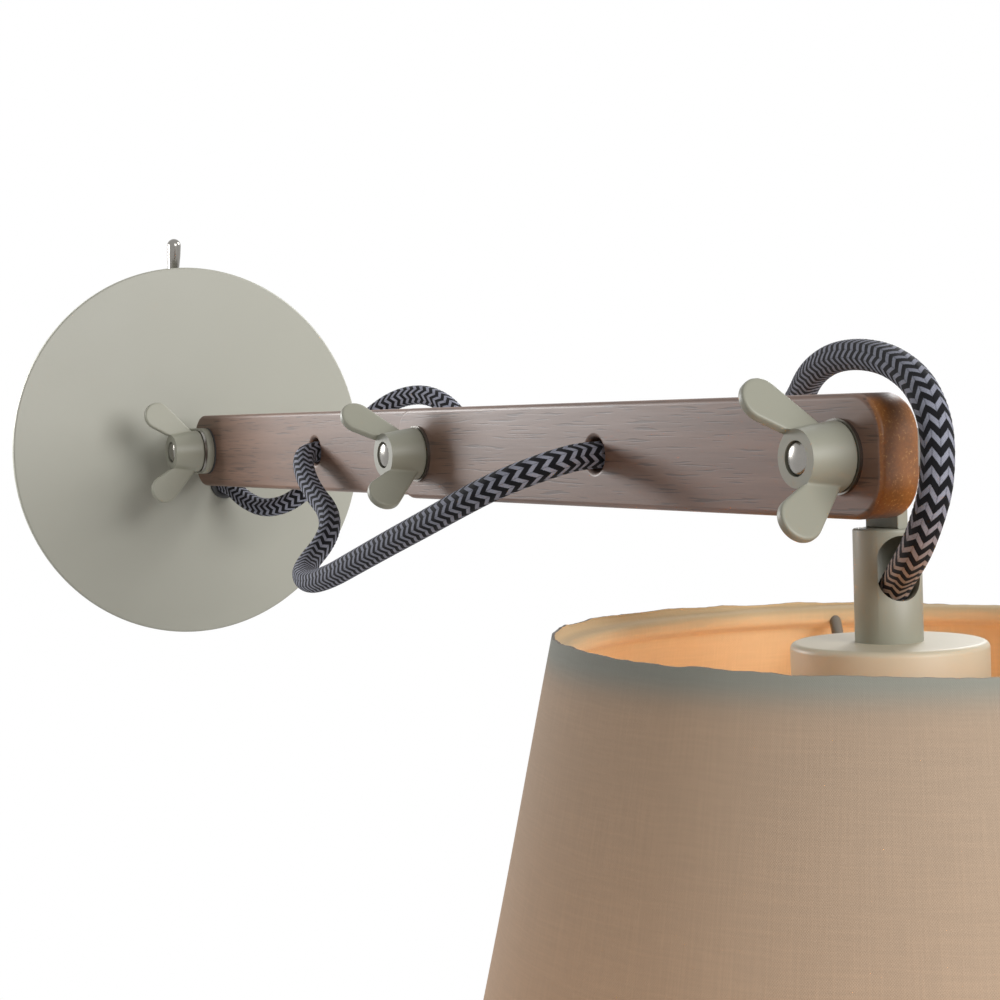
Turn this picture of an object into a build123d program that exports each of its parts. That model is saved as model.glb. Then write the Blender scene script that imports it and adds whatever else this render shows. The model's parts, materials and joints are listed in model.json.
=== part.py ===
from build123d import *
import math
import os

# Adjustable wall lamp: a round canopy, two lapped wooden arms on wing-nut
# pivots, and a fabric shade that hangs from the last pivot. A textile cord
# threads through both arms.
# Frame: the wall is the plane Y = 0, the lamp reaches out along -Y, +Z is up,
# and the wing nuts are on the -X side. Units are millimetres.

# Wooden arms
arm_height = 28.0
arm_thickness = 11.0
arm_pivot_spacing = 210.0
arm_end_overhang = 14.8
arm_corner_radius = 10.0
arm_edge_radius = 1.2
pivot_hole_clearance = 0.08
cord_hole_share = 0.5

# Pivot hardware
bolt_radius = 3.95
bolt_head_radius = 8.0
bolt_head_height = 4.2
bolt_dome_height = 1.6
friction_washer_radius = 9.0
friction_washer_thickness = 0.5
plain_washer_radius = 8.6
plain_washer_thickness = 0.9
washer_bore_clearance = 0.35

# Wing nuts
nut_base_radius = 8.2
nut_front_radius = 6.6
nut_length = 11.0
nut_bore_clearance = 0.06
nut_recess_radius = 5.2
nut_recess_depth = 1.6
wing_lobe_radius = 5.3
wing_lobe_reach = 14.6
wing_lobe_forward = 15.2
wing_thickness = 2.6
wing_root_inset = 1.2
wing_edge_radius = 0.7
wall_nut_turn = 10.0
elbow_nut_turn = 38.0
head_nut_turn = 27.0

# Canopy on the wall
plate_diameter = 150.0
plate_thickness = 2.0
plate_edge_radius = 0.6
canopy_depth = 30.0
housing_diameter = 120.0
housing_wall = 1.5
housing_flange = 5.0
bracket_width = 24.0
bracket_thickness = 2.0
bracket_lug_height = 12.0
bracket_clearance = 0.4
wall_screw_spacing = 60.0
wall_slot_length = 12.0
wall_slot_width = 5.0
bracket_window_radius = 10.0
side_screw_radius = 2.0
side_screw_head_radius = 3.6
side_screw_head_height = 2.0
screw_clearance = 0.15

# Fork that carries the first pivot
fork_reach = 31.5
fork_ear_thickness = 3.0
fork_ear_radius = 9.0
fork_base_thickness = 3.0
fork_screw_radius = 2.0
fork_screw_spread = 5.0
fork_screw_head_radius = 3.5
fork_screw_head_height = 2.4

# Switch on top of the canopy
switch_depth_from_wall = 13.0
switch_body_width = 20.0
switch_body_depth = 13.0
switch_body_height = 18.0
bushing_radius = 6.0
bushing_height = 8.0
bushing_bore_radius = 3.6
switch_nut_across_flats = 14.0
switch_nut_height = 2.4
lever_ball_radius = 2.9
lever_root_radius = 1.9
lever_tip_radius = 2.8
lever_length = 23.0
lever_rest_tilt = -10.0
switch_terminal_length = 5.0
switch_terminal_width = 4.0
switch_terminal_thickness = 0.8

# Parts inside the canopy
terminal_block_length = 30.0
terminal_block_depth = 14.0
terminal_block_height = 16.0
terminal_count = 3
terminal_screw_radius = 2.2
terminal_screw_height = 3.0
terminal_block_gap = 3.0
earth_screw_radius = 2.5
earth_screw_head_radius = 4.5
earth_screw_head_height = 3.0
earth_screw_shank = 5.0
earth_screw_gap = 1.2

# Cord
cord_diameter = 7.3
cord_bush_clearance = 0.15
cord_bush_flange_radius = 6.0
cord_bush_flange = 2.0
cord_bush_neck_radius = 5.0
cord_outlet_side = 13.0
cord_outlet_drop = 14.5
cord_hole_radius = 4.6
cord_clamp_width = 16.0
cord_clamp_height = 13.0
cord_clamp_thickness = 5.0

# Stem under the last pivot
tab_thickness = 3.0
tab_eye_radius = 9.2
tab_width = 11.5
tube_radius = 7.7
tube_wall = 1.5
tube_arm_clearance = 0.3
tube_plug_height = 1.6
cup_drop = 42.2
slot_width = 10.2
slot_top_drop = 18.0
slot_bottom_drop = 32.6
slot_turn = 14.0
grip_radius = 5.4
grip_height = 3.5
nipple_radius = 4.9
nipple_wall = 1.2
locknut_across_flats = 14.0
locknut_height = 4.0
thread_clearance = 0.05
seat_clearance = 0.3

# Lampholder
cup_radius = 22.3
cup_wall = 1.2
cup_height = 45.0
cup_edge_radius = 1.0
holder_radius = 20.5
holder_top_drop = 52.0
holder_height = 56.0
holder_bore_radius = 14.8
holder_floor = 12.0
shell_radius = 14.5
shell_wall = 0.4
shell_height = 26.0
contact_radius = 3.2
contact_height = 3.0
ring_nut_radius = 27.0
ring_nut_height = 8.0
ring_nut_flutes = 16
ring_nut_flute_radius = 1.6
ring_nut_clearance = 0.3

# Shade
shade_top_radius = 77.0
shade_bottom_radius = 109.0
shade_height = 145.0
shade_fabric_thickness = 0.9
shade_top_rise = 0.3
wire_radius = 1.5
spoke_count = 3
spoke_turn = 62.0
spoke_radius = 1.5
fitter_outer_radius = 26.0
fitter_thickness = 1.6

# Bulb
bulb_radius = 22.5
bulb_neck_radius = 12.0
bulb_cap_radius = 13.2
bulb_cap_height = 24.0
bulb_contact_radius = 4.5
bulb_contact_height = 2.0
bulb_neck_length = 10.0
bulb_centre_drop = 27.0
bulb_glass_wall = 0.9

# Small values shared by several pieces
cut_overrun = 2.0
small_chamfer = 0.4
full_turn = 360.0

# Places worked out from the sizes above
plate_front = canopy_depth
housing_depth = canopy_depth - plate_thickness
housing_radius = housing_diameter / 2
wall_pivot_y = -(canopy_depth + fork_reach)
elbow_y = wall_pivot_y - arm_pivot_spacing
head_y = elbow_y - arm_pivot_spacing
lower_hole_y = wall_pivot_y - arm_pivot_spacing * cord_hole_share
upper_hole_y = elbow_y - arm_pivot_spacing * cord_hole_share
cord_radius = cord_diameter / 2
lower_left = -arm_thickness / 2
lower_right = arm_thickness / 2
upper_right = lower_left - friction_washer_thickness
upper_left = upper_right - arm_thickness
ear_gap = arm_thickness / 2 + friction_washer_thickness
ear_outer = ear_gap + fork_ear_thickness
tab_left = upper_right + friction_washer_thickness
tab_right = tab_left + tab_thickness
stem_x = (tab_left + tab_right) / 2
pivot_hole_radius = bolt_radius + pivot_hole_clearance
washer_bore_radius = bolt_radius + washer_bore_clearance
# The tube starts just outside the circle that the arm's rounded corners need
corner_forward = arm_end_overhang - arm_corner_radius
corner_rise = arm_height / 2 - arm_corner_radius
arm_corner_reach = math.hypot(corner_forward, corner_rise) + arm_corner_radius
tube_top_drop = arm_corner_reach + tube_arm_clearance


def save(piece, label):
    """Label one finished piece and write it to its own STEP file."""
    piece.part.label = label
    export_step(piece.part, f"parts/{label}.step")


def side_plane(x, y, z=0.0):
    """A plane that faces +X, with its own x along +Y and its own y along +Z."""
    return Plane(origin=(x, y, z), x_dir=(0, 1, 0), z_dir=(1, 0, 0))


def head_plane(drop):
    """A level plane centred on the stem, a stated drop below the last pivot."""
    return Plane(origin=(stem_x, head_y, -drop))


def stem_section_plane():
    """The upright plane through the stem's axis, its own x along +X."""
    return Plane(origin=(stem_x, head_y, 0), x_dir=(1, 0, 0), z_dir=(0, -1, 0))


os.makedirs("parts", exist_ok=True)

# Canopy: a flat round front plate on a smaller housing
housing_front = Plane.XZ.offset(housing_depth)
with BuildPart() as canopy_plate:
    with BuildSketch(housing_front):
        Circle(plate_diameter / 2)
        with Locations((cord_outlet_side, -cord_outlet_drop)):
            Circle(cord_bush_neck_radius + screw_clearance, mode=Mode.SUBTRACT)
        with Locations((0, fork_screw_spread), (0, -fork_screw_spread)):
            Circle(fork_screw_radius + screw_clearance, mode=Mode.SUBTRACT)
    extrude(amount=plate_thickness)
    plate_rim = canopy_plate.faces().sort_by(Axis.Y)[0].outer_wire().edges()
    fillet(plate_rim, plate_edge_radius)
save(canopy_plate, "canopy_plate")

switch_y = -switch_depth_from_wall
switch_seat = housing_radius - housing_wall
with BuildPart() as canopy_housing:
    with BuildSketch(Plane.XZ):
        Circle(housing_radius)
        Circle(housing_radius - housing_wall, mode=Mode.SUBTRACT)
    extrude(amount=housing_depth)
    with BuildSketch(Plane.XZ.offset(housing_depth - housing_wall)):
        Circle(housing_radius - housing_wall)
        Circle(housing_radius - housing_wall - housing_flange, mode=Mode.SUBTRACT)
    extrude(amount=housing_wall)
    # Flat land and hole for the switch bushing
    with BuildSketch(Plane.XY.offset(switch_seat - housing_wall)):
        with Locations((0, switch_y)):
            Rectangle(switch_body_width, switch_body_depth)
    extrude(amount=housing_wall)
    with BuildSketch(Plane.XY.offset(switch_seat - housing_wall - cut_overrun)):
        with Locations((0, switch_y)):
            Circle(bushing_radius + screw_clearance)
    extrude(amount=bushing_height + cut_overrun, mode=Mode.SUBTRACT)
    # Holes for the two side screws
    side_screw_y = -(bracket_thickness + bracket_lug_height / 2)
    with BuildSketch(Plane.YZ):
        with Locations((side_screw_y, 0)):
            Circle(side_screw_radius + screw_clearance)
    extrude(amount=housing_radius + cut_overrun, both=True, mode=Mode.SUBTRACT)
save(canopy_housing, "canopy_housing")

# Steel strip that is screwed to the wall; the housing slides over its lugs
lug_reach = housing_radius - housing_wall - bracket_clearance
lug_inset = lug_reach - math.sqrt(lug_reach ** 2 - (bracket_width / 2) ** 2)
lug_outer = lug_reach - lug_inset
lug_inner = lug_outer - bracket_thickness
earth_screw_side = lug_inner - earth_screw_head_radius - earth_screw_gap
with BuildPart() as mounting_bracket:
    with BuildSketch(Plane.XZ):
        Rectangle(2 * lug_outer, bracket_width)
        Circle(bracket_window_radius, mode=Mode.SUBTRACT)
        with Locations((-wall_screw_spacing / 2, 0), (wall_screw_spacing / 2, 0)):
            SlotOverall(wall_slot_length, wall_slot_width, mode=Mode.SUBTRACT)
    extrude(amount=bracket_thickness)
    with BuildSketch(Plane.XZ.offset(bracket_thickness)):
        lug_centre = lug_outer - bracket_thickness / 2
        with Locations((-lug_centre, 0), (lug_centre, 0)):
            Rectangle(bracket_thickness, bracket_width)
    extrude(amount=bracket_lug_height)
    with BuildSketch(Plane.YZ):
        with Locations((side_screw_y, 0)):
            Circle(side_screw_radius + screw_clearance)
    extrude(amount=housing_radius, both=True, mode=Mode.SUBTRACT)
    with BuildSketch(Plane.XZ):
        with Locations((-earth_screw_side, 0)):
            Circle(earth_screw_radius + screw_clearance)
    extrude(amount=bracket_thickness, mode=Mode.SUBTRACT)
save(mounting_bracket, "mounting_bracket")

# Screws that hold the housing to the bracket's lugs, one each side
with BuildPart() as side_screws:
    with BuildSketch(side_plane(housing_radius + screw_clearance, side_screw_y)):
        Circle(side_screw_head_radius)
    extrude(amount=side_screw_head_height)
    with BuildSketch(side_plane(lug_inner, side_screw_y)):
        Circle(side_screw_radius)
    extrude(amount=housing_radius + screw_clearance - lug_inner)
    mirror(about=Plane.YZ)
save(side_screws, "housing_side_screws")

# Earth screw on the bracket
with BuildPart() as earth_screw:
    with BuildSketch(Plane.XZ.offset(bracket_thickness)):
        with Locations((-earth_screw_side, 0)):
            RegularPolygon(earth_screw_head_radius, 6)
    extrude(amount=earth_screw_head_height)
    with BuildSketch(Plane.XZ):
        with Locations((-earth_screw_side, 0)):
            Circle(earth_screw_radius)
    extrude(amount=earth_screw_shank)
save(earth_screw, "earth_screw")

# Terminal block on the back of the plate, just below the cord clamp
block_back = housing_depth - terminal_block_depth
clamp_bottom_drop = cord_outlet_drop + cord_clamp_height / 2
terminal_block_drop = clamp_bottom_drop + terminal_block_gap + terminal_block_height / 2
with BuildPart() as terminal_block:
    with BuildSketch(Plane.XZ.offset(block_back)):
        with Locations((0, -terminal_block_drop)):
            Rectangle(terminal_block_length, terminal_block_height)
        with Locations((0, -terminal_block_drop)):
            with GridLocations(terminal_block_length / terminal_count, 0, terminal_count, 1):
                Circle(terminal_screw_radius + screw_clearance, mode=Mode.SUBTRACT)
    extrude(amount=terminal_screw_height)
    with BuildSketch(Plane.XZ.offset(block_back + terminal_screw_height)):
        with Locations((0, -terminal_block_drop)):
            Rectangle(terminal_block_length, terminal_block_height)
    extrude(amount=terminal_block_depth - terminal_screw_height)
save(terminal_block, "terminal_block")

with BuildPart() as terminal_screws:
    with BuildSketch(Plane.XZ.offset(block_back)):
        with Locations((0, -terminal_block_drop)):
            with GridLocations(terminal_block_length / terminal_count, 0, terminal_count, 1):
                Circle(terminal_screw_radius)
    extrude(amount=terminal_screw_height)
save(terminal_screws, "terminal_screws")

# Bush and clamp where the cord leaves the canopy
outlet = (cord_outlet_side, -cord_outlet_drop)
bush_bore_radius = cord_radius + cord_bush_clearance
with BuildPart() as cord_bush:
    with BuildSketch(housing_front):
        with Locations(outlet):
            Circle(cord_bush_neck_radius)
    extrude(amount=plate_thickness)
    with BuildSketch(Plane.XZ.offset(plate_front)):
        with Locations(outlet):
            Circle(cord_bush_flange_radius)
    extrude(amount=cord_bush_flange)
    with BuildSketch(Plane.XZ):
        with Locations(outlet):
            Circle(bush_bore_radius)
    extrude(amount=plate_front + cord_bush_flange + cut_overrun, mode=Mode.SUBTRACT)
save(cord_bush, "cord_outlet_bush")

cord_start = housing_depth - cord_clamp_thickness
with BuildPart() as cord_clamp:
    with BuildSketch(Plane.XZ.offset(cord_start)):
        with Locations(outlet):
            Rectangle(cord_clamp_width, cord_clamp_height)
            Circle(bush_bore_radius, mode=Mode.SUBTRACT)
    extrude(amount=cord_clamp_thickness)
save(cord_clamp, "cord_clamp")

# Fork: a base on the plate and two ears either side of the lower arm
pivot_from_base = fork_reach - fork_base_thickness
with BuildPart() as fork:
    with BuildSketch(Plane.XZ.offset(plate_front)):
        Rectangle(2 * ear_outer, 2 * fork_ear_radius)
        with Locations((0, fork_screw_spread), (0, -fork_screw_spread)):
            Circle(fork_screw_radius + screw_clearance, mode=Mode.SUBTRACT)
    extrude(amount=fork_base_thickness)
    with BuildSketch(side_plane(ear_gap, wall_pivot_y)):
        Circle(fork_ear_radius)
        with Locations((pivot_from_base / 2, 0)):
            Rectangle(pivot_from_base, 2 * fork_ear_radius)
        Circle(pivot_hole_radius, mode=Mode.SUBTRACT)
    ear = extrude(amount=fork_ear_thickness)
    mirror(ear, about=Plane.YZ)
save(fork, "wall_fork")

with BuildPart() as fork_screws:
    with BuildSketch(Plane.XZ.offset(housing_depth - fork_screw_head_height)):
        with Locations((0, fork_screw_spread), (0, -fork_screw_spread)):
            Circle(fork_screw_head_radius)
    extrude(amount=fork_screw_head_height)
    with BuildSketch(housing_front):
        with Locations((0, fork_screw_spread), (0, -fork_screw_spread)):
            Circle(fork_screw_radius)
    extrude(amount=plate_thickness + fork_base_thickness)
save(fork_screws, "fork_screws")

# Switch: body, terminals, threaded bushing, nut and lever
switch_top = switch_seat - housing_wall
with BuildPart() as switch_body:
    with BuildSketch(Plane.XY.offset(switch_top - switch_body_height)):
        with Locations((0, switch_y)):
            Rectangle(switch_body_width, switch_body_depth)
    extrude(amount=switch_body_height)
    fillet(switch_body.edges().filter_by(Axis.Z), small_chamfer)
save(switch_body, "switch_body")

with BuildPart() as switch_terminals:
    switch_bottom = switch_top - switch_body_height
    with BuildSketch(Plane.XY.offset(switch_bottom - switch_terminal_length)):
        with Locations((0, switch_y)):
            with GridLocations(switch_body_width / 2, 0, 2, 1):
                Rectangle(switch_terminal_thickness, switch_terminal_width)
    extrude(amount=switch_terminal_length)
save(switch_terminals, "switch_terminals")

bushing_top = housing_radius + bushing_height
lever_pivot_z = bushing_top - lever_ball_radius
with BuildPart() as switch_bushing:
    with BuildSketch(Plane.XY.offset(switch_top)):
        with Locations((0, switch_y)):
            Circle(bushing_radius)
    extrude(amount=bushing_top - switch_top)
    chamfer(switch_bushing.edges().group_by(Axis.Z)[-1], small_chamfer)
    with BuildSketch(Plane.XY.offset(lever_pivot_z - bushing_bore_radius)):
        with Locations((0, switch_y)):
            Circle(bushing_bore_radius)
    extrude(amount=bushing_height, mode=Mode.SUBTRACT)
save(switch_bushing, "switch_bushing")

with BuildPart() as switch_nut:
    with BuildSketch(Plane.XY.offset(housing_radius)):
        with Locations((0, switch_y)):
            RegularPolygon(switch_nut_across_flats / 2, 6, major_radius=False)
            Circle(bushing_radius + thread_clearance, mode=Mode.SUBTRACT)
    extrude(amount=switch_nut_height)
save(switch_nut, "switch_nut")

lean = math.radians(lever_rest_tilt)
lever_plane = Plane(
    origin=(0, switch_y, lever_pivot_z),
    x_dir=(1, 0, 0),
    z_dir=(0, -math.cos(lean), math.sin(lean)),
)
with BuildPart() as switch_lever:
    with BuildSketch(lever_plane):
        with BuildLine():
            stem_top = lever_length - lever_tip_radius
            Polyline(
                (0, 0),
                (lever_root_radius, 0),
                (lever_tip_radius, stem_top),
            )
            ThreePointArc(
                (lever_tip_radius, stem_top),
                (lever_tip_radius * math.sqrt(0.5), stem_top + lever_tip_radius * math.sqrt(0.5)),
                (0, lever_length),
            )
            Line((0, lever_length), (0, 0))
        make_face()
    revolve(axis=Axis((0, switch_y, lever_pivot_z), (0, math.sin(lean), math.cos(lean))))
    with Locations((0, switch_y, lever_pivot_z)):
        Sphere(lever_ball_radius)
save(switch_lever, "switch_lever")

# Wooden arms, each with two pivot holes and a hole for the cord
arm_length = arm_pivot_spacing + 2 * arm_end_overhang


def make_arm(left_x, near_pivot_y, label):
    """One arm, from its left face, with its wall-side pivot at near_pivot_y."""
    centre_y = near_pivot_y - arm_pivot_spacing / 2
    cord_hole_y = arm_pivot_spacing / 2 - arm_pivot_spacing * cord_hole_share
    with BuildPart() as arm:
        with BuildSketch(side_plane(left_x, centre_y)):
            RectangleRounded(arm_length, arm_height, arm_corner_radius)
        extrude(amount=arm_thickness)
        left_rim = arm.faces().sort_by(Axis.X)[0].outer_wire().edges()
        right_rim = arm.faces().sort_by(Axis.X)[-1].outer_wire().edges()
        fillet(left_rim + right_rim, arm_edge_radius)
        with BuildSketch(side_plane(left_x, centre_y)):
            with Locations((-arm_pivot_spacing / 2, 0), (arm_pivot_spacing / 2, 0)):
                Circle(pivot_hole_radius)
            with Locations((cord_hole_y, 0)):
                Circle(cord_hole_radius)
        extrude(amount=arm_thickness, mode=Mode.SUBTRACT)
    save(arm, label)


make_arm(lower_left, wall_pivot_y, "lower_arm")
make_arm(upper_left, elbow_y, "upper_arm")


def make_bolt(seat_x, end_x, y, label):
    """A mushroom-headed bolt, its head on the +X side at seat_x."""
    with BuildPart() as bolt:
        with BuildSketch(side_plane(end_x, y)):
            Circle(bolt_radius)
        extrude(amount=seat_x - end_x)
        chamfer(bolt.edges().group_by(Axis.X)[0], small_chamfer)
        with BuildSketch(Plane(origin=(seat_x, y, 0), x_dir=(1, 0, 0), z_dir=(0, -1, 0))):
            with BuildLine():
                rim = bolt_head_height - bolt_dome_height
                Polyline((0, 0), (0, bolt_head_radius), (rim, bolt_head_radius))
                dome_radius = (bolt_head_radius ** 2 + bolt_dome_height ** 2) / (2 * bolt_dome_height)
                RadiusArc((rim, bolt_head_radius), (bolt_head_height, 0), dome_radius)
                Line((bolt_head_height, 0), (0, 0))
            make_face()
        revolve(axis=Axis((seat_x, y, 0), (1, 0, 0)))
    save(bolt, label)


def make_washers(left_faces, radius, thickness, y, label):
    """Washers of one size on one bolt, each from its left face."""
    with BuildPart() as washers:
        for left_x in left_faces:
            with BuildSketch(side_plane(left_x, y)):
                Circle(radius)
                Circle(washer_bore_radius, mode=Mode.SUBTRACT)
            extrude(amount=thickness)
    save(washers, label)


def tangent_point(point, centre, radius, side):
    """Where a line from the point touches the circle, on the side +1 or -1."""
    reach = math.dist(point, centre)
    heading = math.atan2(centre[1] - point[1], centre[0] - point[0])
    half_angle = math.asin(radius / reach)
    run = math.sqrt(reach ** 2 - radius ** 2)
    angle = heading + side * half_angle
    return (point[0] + run * math.cos(angle), point[1] + run * math.sin(angle))


def make_wing_nut(base_x, y, turn, label):
    """A wing nut whose base faces +X; turn leans its upper wing to the wall."""
    lean_angle = math.radians(turn)
    radial = Vector(0, math.sin(lean_angle), math.cos(lean_angle))
    forward = Vector(-1, 0, 0)
    hub_plane = Plane(origin=(base_x, y, 0), x_dir=radial, z_dir=forward)
    wing_plane = Plane(origin=(base_x, y, 0), x_dir=radial, z_dir=radial.cross(forward))
    lobe = (wing_lobe_reach, wing_lobe_forward)
    low_root = (nut_base_radius - wing_root_inset, wing_root_inset)
    high_root = (nut_front_radius - wing_root_inset, nut_length - wing_root_inset)
    low_touch = tangent_point(low_root, lobe, wing_lobe_radius, -1)
    high_touch = tangent_point(high_root, lobe, wing_lobe_radius, 1)
    inner_low = (pivot_hole_radius + wing_root_inset, wing_root_inset)
    inner_high = (pivot_hole_radius + wing_root_inset, nut_length - wing_root_inset)
    with BuildPart() as nut:
        with BuildSketch(wing_plane):
            with BuildLine():
                Polyline(inner_low, low_root, low_touch)
                out_angle = math.atan2(wing_lobe_forward, wing_lobe_reach)
                far_point = (
                    wing_lobe_reach + wing_lobe_radius * math.cos(out_angle),
                    wing_lobe_forward + wing_lobe_radius * math.sin(out_angle),
                )
                ThreePointArc(low_touch, far_point, high_touch)
                Polyline(high_touch, high_root, inner_high, inner_low)
            make_face()
        extrude(amount=wing_thickness / 2, both=True)
        wing_rims = nut.faces().filter_by(wing_plane)
        fillet(wing_rims.edges().filter_by(GeomType.CIRCLE), wing_edge_radius)
        mirror(about=Plane(origin=(base_x, y, 0), z_dir=radial))
        with BuildSketch(wing_plane):
            Polygon(
                (0, 0),
                (nut_base_radius, 0),
                (nut_front_radius, nut_length),
                (0, nut_length),
                align=None,
            )
        revolve(axis=Axis((base_x, y, 0), forward))
        with BuildSketch(hub_plane):
            Circle(bolt_radius + nut_bore_clearance)
        extrude(amount=nut_length, mode=Mode.SUBTRACT)
        with BuildSketch(hub_plane.offset(nut_length - nut_recess_depth)):
            Circle(nut_recess_radius)
        extrude(amount=nut_recess_depth, mode=Mode.SUBTRACT)
    save(nut, label)


# Each pivot's stack, from the bolt's head on the right to the nut on the left
wall_seat = ear_outer + plain_washer_thickness
wall_nut_base = -ear_outer - plain_washer_thickness
elbow_seat = lower_right + plain_washer_thickness
elbow_nut_base = upper_left - plain_washer_thickness
head_seat = tab_right + plain_washer_thickness
head_nut_base = elbow_nut_base
bolt_past_base = nut_length - nut_recess_depth / 2

make_bolt(wall_seat, wall_nut_base - bolt_past_base, wall_pivot_y, "wall_pivot_bolt")
make_bolt(elbow_seat, elbow_nut_base - bolt_past_base, elbow_y, "elbow_bolt")
make_bolt(head_seat, head_nut_base - bolt_past_base, head_y, "head_pivot_bolt")

plain = (plain_washer_radius, plain_washer_thickness)
friction = (friction_washer_radius, friction_washer_thickness)
make_washers((-ear_outer - plain_washer_thickness, ear_outer), *plain, wall_pivot_y, "wall_pivot_washers")
make_washers((elbow_nut_base, lower_right), *plain, elbow_y, "elbow_washers")
make_washers((head_nut_base, tab_right), *plain, head_y, "head_pivot_washers")
make_washers((-ear_gap, lower_right), *friction, wall_pivot_y, "wall_friction_washers")
make_washers((upper_right,), *friction, elbow_y, "elbow_friction_washer")
make_washers((upper_right,), *friction, head_y, "head_friction_washer")

make_wing_nut(wall_nut_base, wall_pivot_y, wall_nut_turn, "wall_wing_nut")
make_wing_nut(elbow_nut_base, elbow_y, elbow_nut_turn, "elbow_wing_nut")
make_wing_nut(head_nut_base, head_y, head_nut_turn, "head_wing_nut")

# Stem: a flat eye, and a tube with a slot for the cord
tube_bore = tube_radius - tube_wall
with BuildPart() as stem_eye:
    with BuildSketch(side_plane(tab_left, head_y)):
        Circle(tab_eye_radius)
        with Locations((0, -tube_top_drop / 2)):
            Rectangle(tab_width, tube_top_drop)
        Circle(pivot_hole_radius, mode=Mode.SUBTRACT)
    extrude(amount=tab_thickness)
    with BuildSketch(head_plane(tube_top_drop + tube_plug_height)):
        Circle(tube_bore - thread_clearance)
    extrude(amount=tube_plug_height)
save(stem_eye, "stem_eye")

slot_mid_drop = (slot_top_drop + slot_bottom_drop) / 2
slot_angle = math.radians(slot_turn)
slot_plane = Plane(
    origin=(stem_x, head_y, -slot_mid_drop),
    x_dir=(math.cos(slot_angle), -math.sin(slot_angle), 0),
    z_dir=(-math.sin(slot_angle), -math.cos(slot_angle), 0),
)
with BuildPart() as stem_tube:
    with BuildSketch(head_plane(cup_drop)):
        Circle(tube_radius)
        Circle(tube_bore, mode=Mode.SUBTRACT)
    extrude(amount=cup_drop - tube_top_drop)
    with BuildSketch(head_plane(cup_drop)):
        Circle(tube_bore)
        Circle(nipple_radius + thread_clearance, mode=Mode.SUBTRACT)
    extrude(amount=tube_wall)
    with BuildSketch(slot_plane):
        SlotOverall(slot_bottom_drop - slot_top_drop, slot_width, rotation=90)
    extrude(amount=tube_radius + cut_overrun, mode=Mode.SUBTRACT)
save(stem_tube, "stem_tube")

grip_bottom_drop = cup_drop - tube_wall
with BuildPart() as cord_grip:
    with BuildSketch(head_plane(grip_bottom_drop)):
        Circle(grip_radius)
        Circle(bush_bore_radius, mode=Mode.SUBTRACT)
    extrude(amount=grip_height)
save(cord_grip, "cord_grip")

with BuildPart() as nipple:
    with BuildSketch(head_plane(holder_top_drop)):
        Circle(nipple_radius)
        Circle(nipple_radius - nipple_wall, mode=Mode.SUBTRACT)
    extrude(amount=holder_top_drop - grip_bottom_drop)
save(nipple, "threaded_nipple")

with BuildPart() as locknut:
    with BuildSketch(head_plane(cup_drop + cup_wall + locknut_height)):
        RegularPolygon(locknut_across_flats / 2, 6, major_radius=False)
        Circle(nipple_radius + thread_clearance, mode=Mode.SUBTRACT)
    extrude(amount=locknut_height)
save(locknut, "stem_locknut")

# Lampholder: outer cup, insulating body, threaded shell and contact
cup_bottom_drop = cup_drop + cup_height
with BuildPart() as cup:
    with BuildSketch(head_plane(cup_bottom_drop)):
        Circle(cup_radius)
    extrude(amount=cup_height)
    fillet(cup.edges().group_by(Axis.Z)[-1], cup_edge_radius)
    with BuildSketch(head_plane(cup_bottom_drop)):
        Circle(cup_radius - cup_wall)
    extrude(amount=cup_height - cup_wall, mode=Mode.SUBTRACT)
    with BuildSketch(head_plane(cup_bottom_drop)):
        Circle(nipple_radius + thread_clearance)
    extrude(amount=cup_height, mode=Mode.SUBTRACT)
save(cup, "lampholder_cup")

holder_floor_drop = holder_top_drop + holder_floor
holder_bottom_drop = holder_top_drop + holder_height
with BuildPart() as holder:
    with BuildSketch(head_plane(holder_bottom_drop)):
        Circle(holder_radius)
    extrude(amount=holder_height)
    with BuildSketch(head_plane(holder_bottom_drop)):
        Circle(holder_bore_radius)
    extrude(amount=holder_height - holder_floor, mode=Mode.SUBTRACT)
    chamfer(holder.edges().group_by(Axis.Z)[0], small_chamfer)
save(holder, "lampholder_body")

shell_top_drop = holder_floor_drop + contact_height
with BuildPart() as thread_shell:
    with BuildSketch(head_plane(shell_top_drop + shell_height)):
        Circle(shell_radius)
        Circle(shell_radius - shell_wall, mode=Mode.SUBTRACT)
    extrude(amount=shell_height)
save(thread_shell, "lampholder_thread")

with BuildPart() as contact:
    with BuildSketch(head_plane(holder_floor_drop + contact_height)):
        Circle(contact_radius)
    extrude(amount=contact_height)
save(contact, "centre_contact")

ring_top_drop = cup_bottom_drop + fitter_thickness
with BuildPart() as ring_nut:
    with BuildSketch(head_plane(ring_top_drop + ring_nut_height)):
        Circle(ring_nut_radius)
        Circle(holder_radius + ring_nut_clearance, mode=Mode.SUBTRACT)
        with PolarLocations(ring_nut_radius, ring_nut_flutes):
            Circle(ring_nut_flute_radius, mode=Mode.SUBTRACT)
    extrude(amount=ring_nut_height)
save(ring_nut, "shade_ring_nut")

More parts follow.
